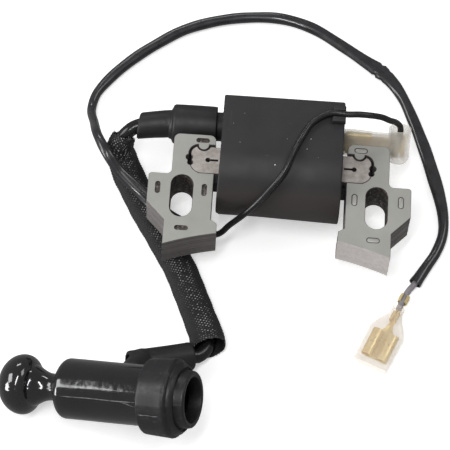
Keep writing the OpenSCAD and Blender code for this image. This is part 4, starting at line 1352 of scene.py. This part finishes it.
def make_socket_cover():
    """Loose clear cover of the blade receptacle: flat box, tapered shoulders and a short neck."""
    sides = 64
    profile = [(0.0, 5.85, 2.0, 0.3), (0.8, 5.95, 2.05, 0.3), (3, 6, 2.05, 0.3), (7, 5.95, 2.03, 0.3),
               (11, 5.95, 2.05, 0.3), (13.2, 5.9, 2.05, 0.32), (14.2, 5.5, 2.02, 0.4), (16, 4.5, 2.0, 0.6),
               (18, 3.2, 2.0, 0.85), (19.6, 2.4, 2.0, 1), (20.8, 2.1, 2.02, 1), (22.6, 2.05, 2.05, 1)]
    path = spline(profile, 0.7)
    outer, inner = [], []
    for x, w, t, c in path:
        lip = math.exp(-(x / 0.9) ** 2)
        thin = 0.42 - 0.28 * min(max((x - 14) / 2, 0), 1)
        for rows, wall in ((outer, 0.0), (inner, thin)):
            ring = []
            for k, (y, z) in enumerate(section(w - wall, t - wall, c, sides)):
                wavy = lip * (0.35 * math.sin(y * 0.9 + 0.6) + 0.12 * math.sin(y * 2.7))
                ring.append(on_socket(max(x + wavy, 0.02), y, z + 0.04 * math.sin(0.8 * x + y)))
            rows.append(ring)
    obj = shell_mesh("receptacle_cover_vinyl", outer, inner, sides, CLEAR, 60)
    fit_out(obj, COVER, "clear_vinyl", "receptacle_cover")
    return obj


def bent_strip(name, rings, thickness, place):
    """A strip of sheet metal: rings are lists of (x, y, z) across it, thickened downwards."""
    count, width = len(rings), len(rings[0])
    top = np.array(rings, float)
    du = np.gradient(top, axis=0)
    dv = np.gradient(top, axis=1)
    n = np.cross(du, dv)
    n /= np.maximum(np.linalg.norm(n, axis=2), 1e-9)[:, :, None]
    low = top - n * thickness
    verts = [place(*p) for p in top.reshape(-1, 3)] + [place(*p) for p in low.reshape(-1, 3)]
    faces, off = [], count * width
    for i in range(count - 1):
        for j in range(width - 1):
            a, b = i * width + j, (i + 1) * width + j
            faces += [(a, b, b + 1, a + 1), (off + a, off + a + 1, off + b + 1, off + b)]
        for j in (0, width - 1):
            a, b = i * width + j, (i + 1) * width + j
            faces.append((a, off + a, off + b, b) if j == 0 else (a, b, off + b, off + a))
    for i in (0, count - 1):
        for j in range(width - 1):
            a = i * width + j
            faces.append((a, a + 1, off + a + 1, off + a) if i == 0 else (a, off + a, off + a + 1, a + 1))
    obj = add_mesh(name, verts, faces, BRASS, sharp=50)
    bm = bmesh.new()
    bm.from_mesh(obj.data)
    bmesh.ops.recalc_face_normals(bm, faces=bm.faces)
    bm.to_mesh(obj.data)
    bm.free()
    return obj


def brass_strip(name, rings, thickness, place, *nodes):
    fit_out(bent_strip(name, rings, thickness, place), COIL, "tinned_brass", *nodes)


def curl(x, side, radius, reach, steps=14):
    """Cross section of a receptacle's rolled edge, from the floor round to the inside."""
    points = []
    for k in range(steps + 1):
        a = math.radians(-90 + reach * k / steps)
        across = 4.4 - 1.5 * radius + 1.5 * radius * math.cos(a)
        points.append((x, side * across, -0.05 + radius * math.sin(a)))
    return points


def make_receptacle():
    """Folded brass receptacle: a floor, two rolled edges, a necked link and two pairs of wings."""
    rings = []
    for x in np.linspace(3.2, 12.8, 9):
        nose = 0.35 * math.exp(-((x - 3.2) / 0.8) ** 2)
        left = [(px, py, pz - nose * 0.3) for px, py, pz in curl(x, -1, 1.2, 265)][::-1]
        right = [(px, py, pz - nose * 0.3) for px, py, pz in curl(x, 1, 1.2, 265)]
        floor = [(x, y, -1.25) for y in np.linspace(-2.2, 2.2, 7)]
        rings.append(left[:-1] + floor + right[1:])
    brass_strip("receptacle_body", rings, -0.3, on_socket, "blade_receptacle")
    rings = []
    for x, half, z in ((12.6, 2.4, -1.25), (13.4, 2.2, -1.25), (14.4, 1.5, -1.28), (15.6, 1.0, -1.35),
                       (17.2, 0.8, -1.42), (21, 0.75, -1.42), (24.8, 0.8, -1.4)):
        lift = 0.25
        rings.append([(x, half * t, z + lift * t * t) for t in np.linspace(-1, 1, 7)])
    brass_strip("receptacle_link", rings, -0.28, on_socket)
    for name, x0, x1, radius, gap, flare in (("conductor_wings", 17.4, 20.6, 1.3, 18, 0.0),
                                            ("insulation_wings", 24.5, 27.4, 1.58, 28, 0.06)):
        rings = []
        for x in np.linspace(x0, x1, 6):
            t = (x - x0) / (x1 - x0)
            r = radius * (1 + flare * math.sin(math.pi * t))
            rings.append([(x, r * math.cos(a), r * math.sin(a))
                          for a in np.radians(np.linspace(90 + gap, 450 - gap, 30))])
        brass_strip(f"receptacle_{name}", rings, -0.28, on_socket)


def make_flag_terminal():
    """Bronze flag terminal: a folded box round the tab, a floor and a rolled wire crimp."""
    rings = []
    for x in np.linspace(20.9, 28.8, 5):
        rings.append([(x, y, z) for y, z in (
            (-1.25, -1.6), (-1.3, -2.2), (-1.25, -3.2), (-0.9, -3.65), (0.0, -3.75), (0.85, -3.5),
            (1.2, -3), (1.2, 0), (1.2, 3), (0.85, 3.5), (0.0, 3.75), (-0.9, 3.65), (-1.25, 3.2),
            (-1.3, 2.2), (-1.25, 1.6))])
    brass_strip("flag_terminal_box", rings, -0.3, on_flag, "flag_terminal")
    rings = [[(x, 1.25, z) for z in np.linspace(-2, 2, 4)] for x in (28.6, 32, 36.6)]
    brass_strip("flag_terminal_floor", rings, 0.3, on_flag)
    rings = []
    for z in np.linspace(-3.4, 3, 6):
        rings.append([(FLAG_X + 1.7 * math.cos(a), 1.7 * math.sin(a), z)
                      for a in np.radians(np.linspace(-70, 250, 24))])
    brass_strip("flag_terminal_crimp", rings, 0.3, on_flag)


make_flag_cover()
cover = make_socket_cover()
make_receptacle()
make_flag_terminal()


# ---- Pieces that keep their CAD shape -----------------------------------------------------------

KEPT = {
    "potting_compound": "potting_resin", "primary_bobbin": "bobbin_black", "primary_winding": "copper_wire",
    "secondary_bobbin": "bobbin_natural", "secondary_winding": "copper_wire",
    "circuit_board": "circuit_board",
    "power_transistor": "electronics_black", "board_components": "electronics_tan",
    "ground_strip": "tinned_brass", "ht_tower_pin": "tinned_brass", "primary_tab": "tinned_brass",
    "plug_clip": "spring_steel", "cap_spring": "spring_steel", "cap_resistor": "ceramic",
    "lead_screw": "tinned_brass",
}
inner_finish = inner_materials()
for node, slot in KEPT.items():
    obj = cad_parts[node]
    obj.data.materials.clear()
    obj.data.materials.append(inner_finish[slot])


# ---- Floor and light -------------------------------------------------------------------------------

def floor_material():
    """A light table: white, and lit a little from below so that shadows stay faint."""
    m = Shader("floor", (0.93, 0.93, 0.93), 0.8)
    m.set("Emission Color", (1, 1, 1, 1))
    m.set("Emission Strength", 0.45)
    return m.material


def make_floor():
    reach, z = 3000.0, -9.02
    corners = [(-reach, -reach, z), (reach, -reach, z), (reach, reach, z), (-reach, reach, z)]
    obj = add_mesh("floor", corners, [(0, 1, 2, 3)], floor_material(), smooth=False)
    obj.visible_glossy = False


def softbox(name, place, aim, width, height, power, tone=(1, 1, 1)):
    data = bpy.data.lights.new(name, "AREA")
    data.shape = "RECTANGLE"
    data.size, data.size_y = width, height
    data.energy = power
    data.color = tone
    light = bpy.data.objects.new(name, data)
    light.location = place
    light.rotation_euler = (Vector(aim) - Vector(place)).to_track_quat("-Z", "Y").to_euler()
    bpy.context.scene.collection.objects.link(light)


def make_lights():
    world = bpy.data.worlds.new("studio")
    world.use_nodes = True
    world.node_tree.nodes["Background"].inputs["Color"].default_value = (1, 1, 1, 1)
    world.node_tree.nodes["Background"].inputs["Strength"].default_value = 0.24
    bpy.context.scene.world = world
    softbox("left_low", (-0.95, 0.0, 0.65), (0, 0, 0), 0.55, 0.45, 4.4)
    softbox("left_level", (-0.95, -0.35, 0.22), (0, 0, 0), 0.4, 0.3, 4.2)
    softbox("above", (-0.15, -0.25, 0.95), (0, 0, 0), 0.1, 0.6, 3.6)
    softbox("right_soft", (0.6, 0.3, 0.9), (0, 0, 0), 0.4, 0.4, 1.6)
    softbox("back_strip", (-0.25, 0.95, 0.75), (-0.05, 0, 0), 0.5, 0.12, 1.6)


make_floor()
make_lights()
view = bpy.context.scene.view_settings
view.view_transform = "Standard"
view.look = "None"
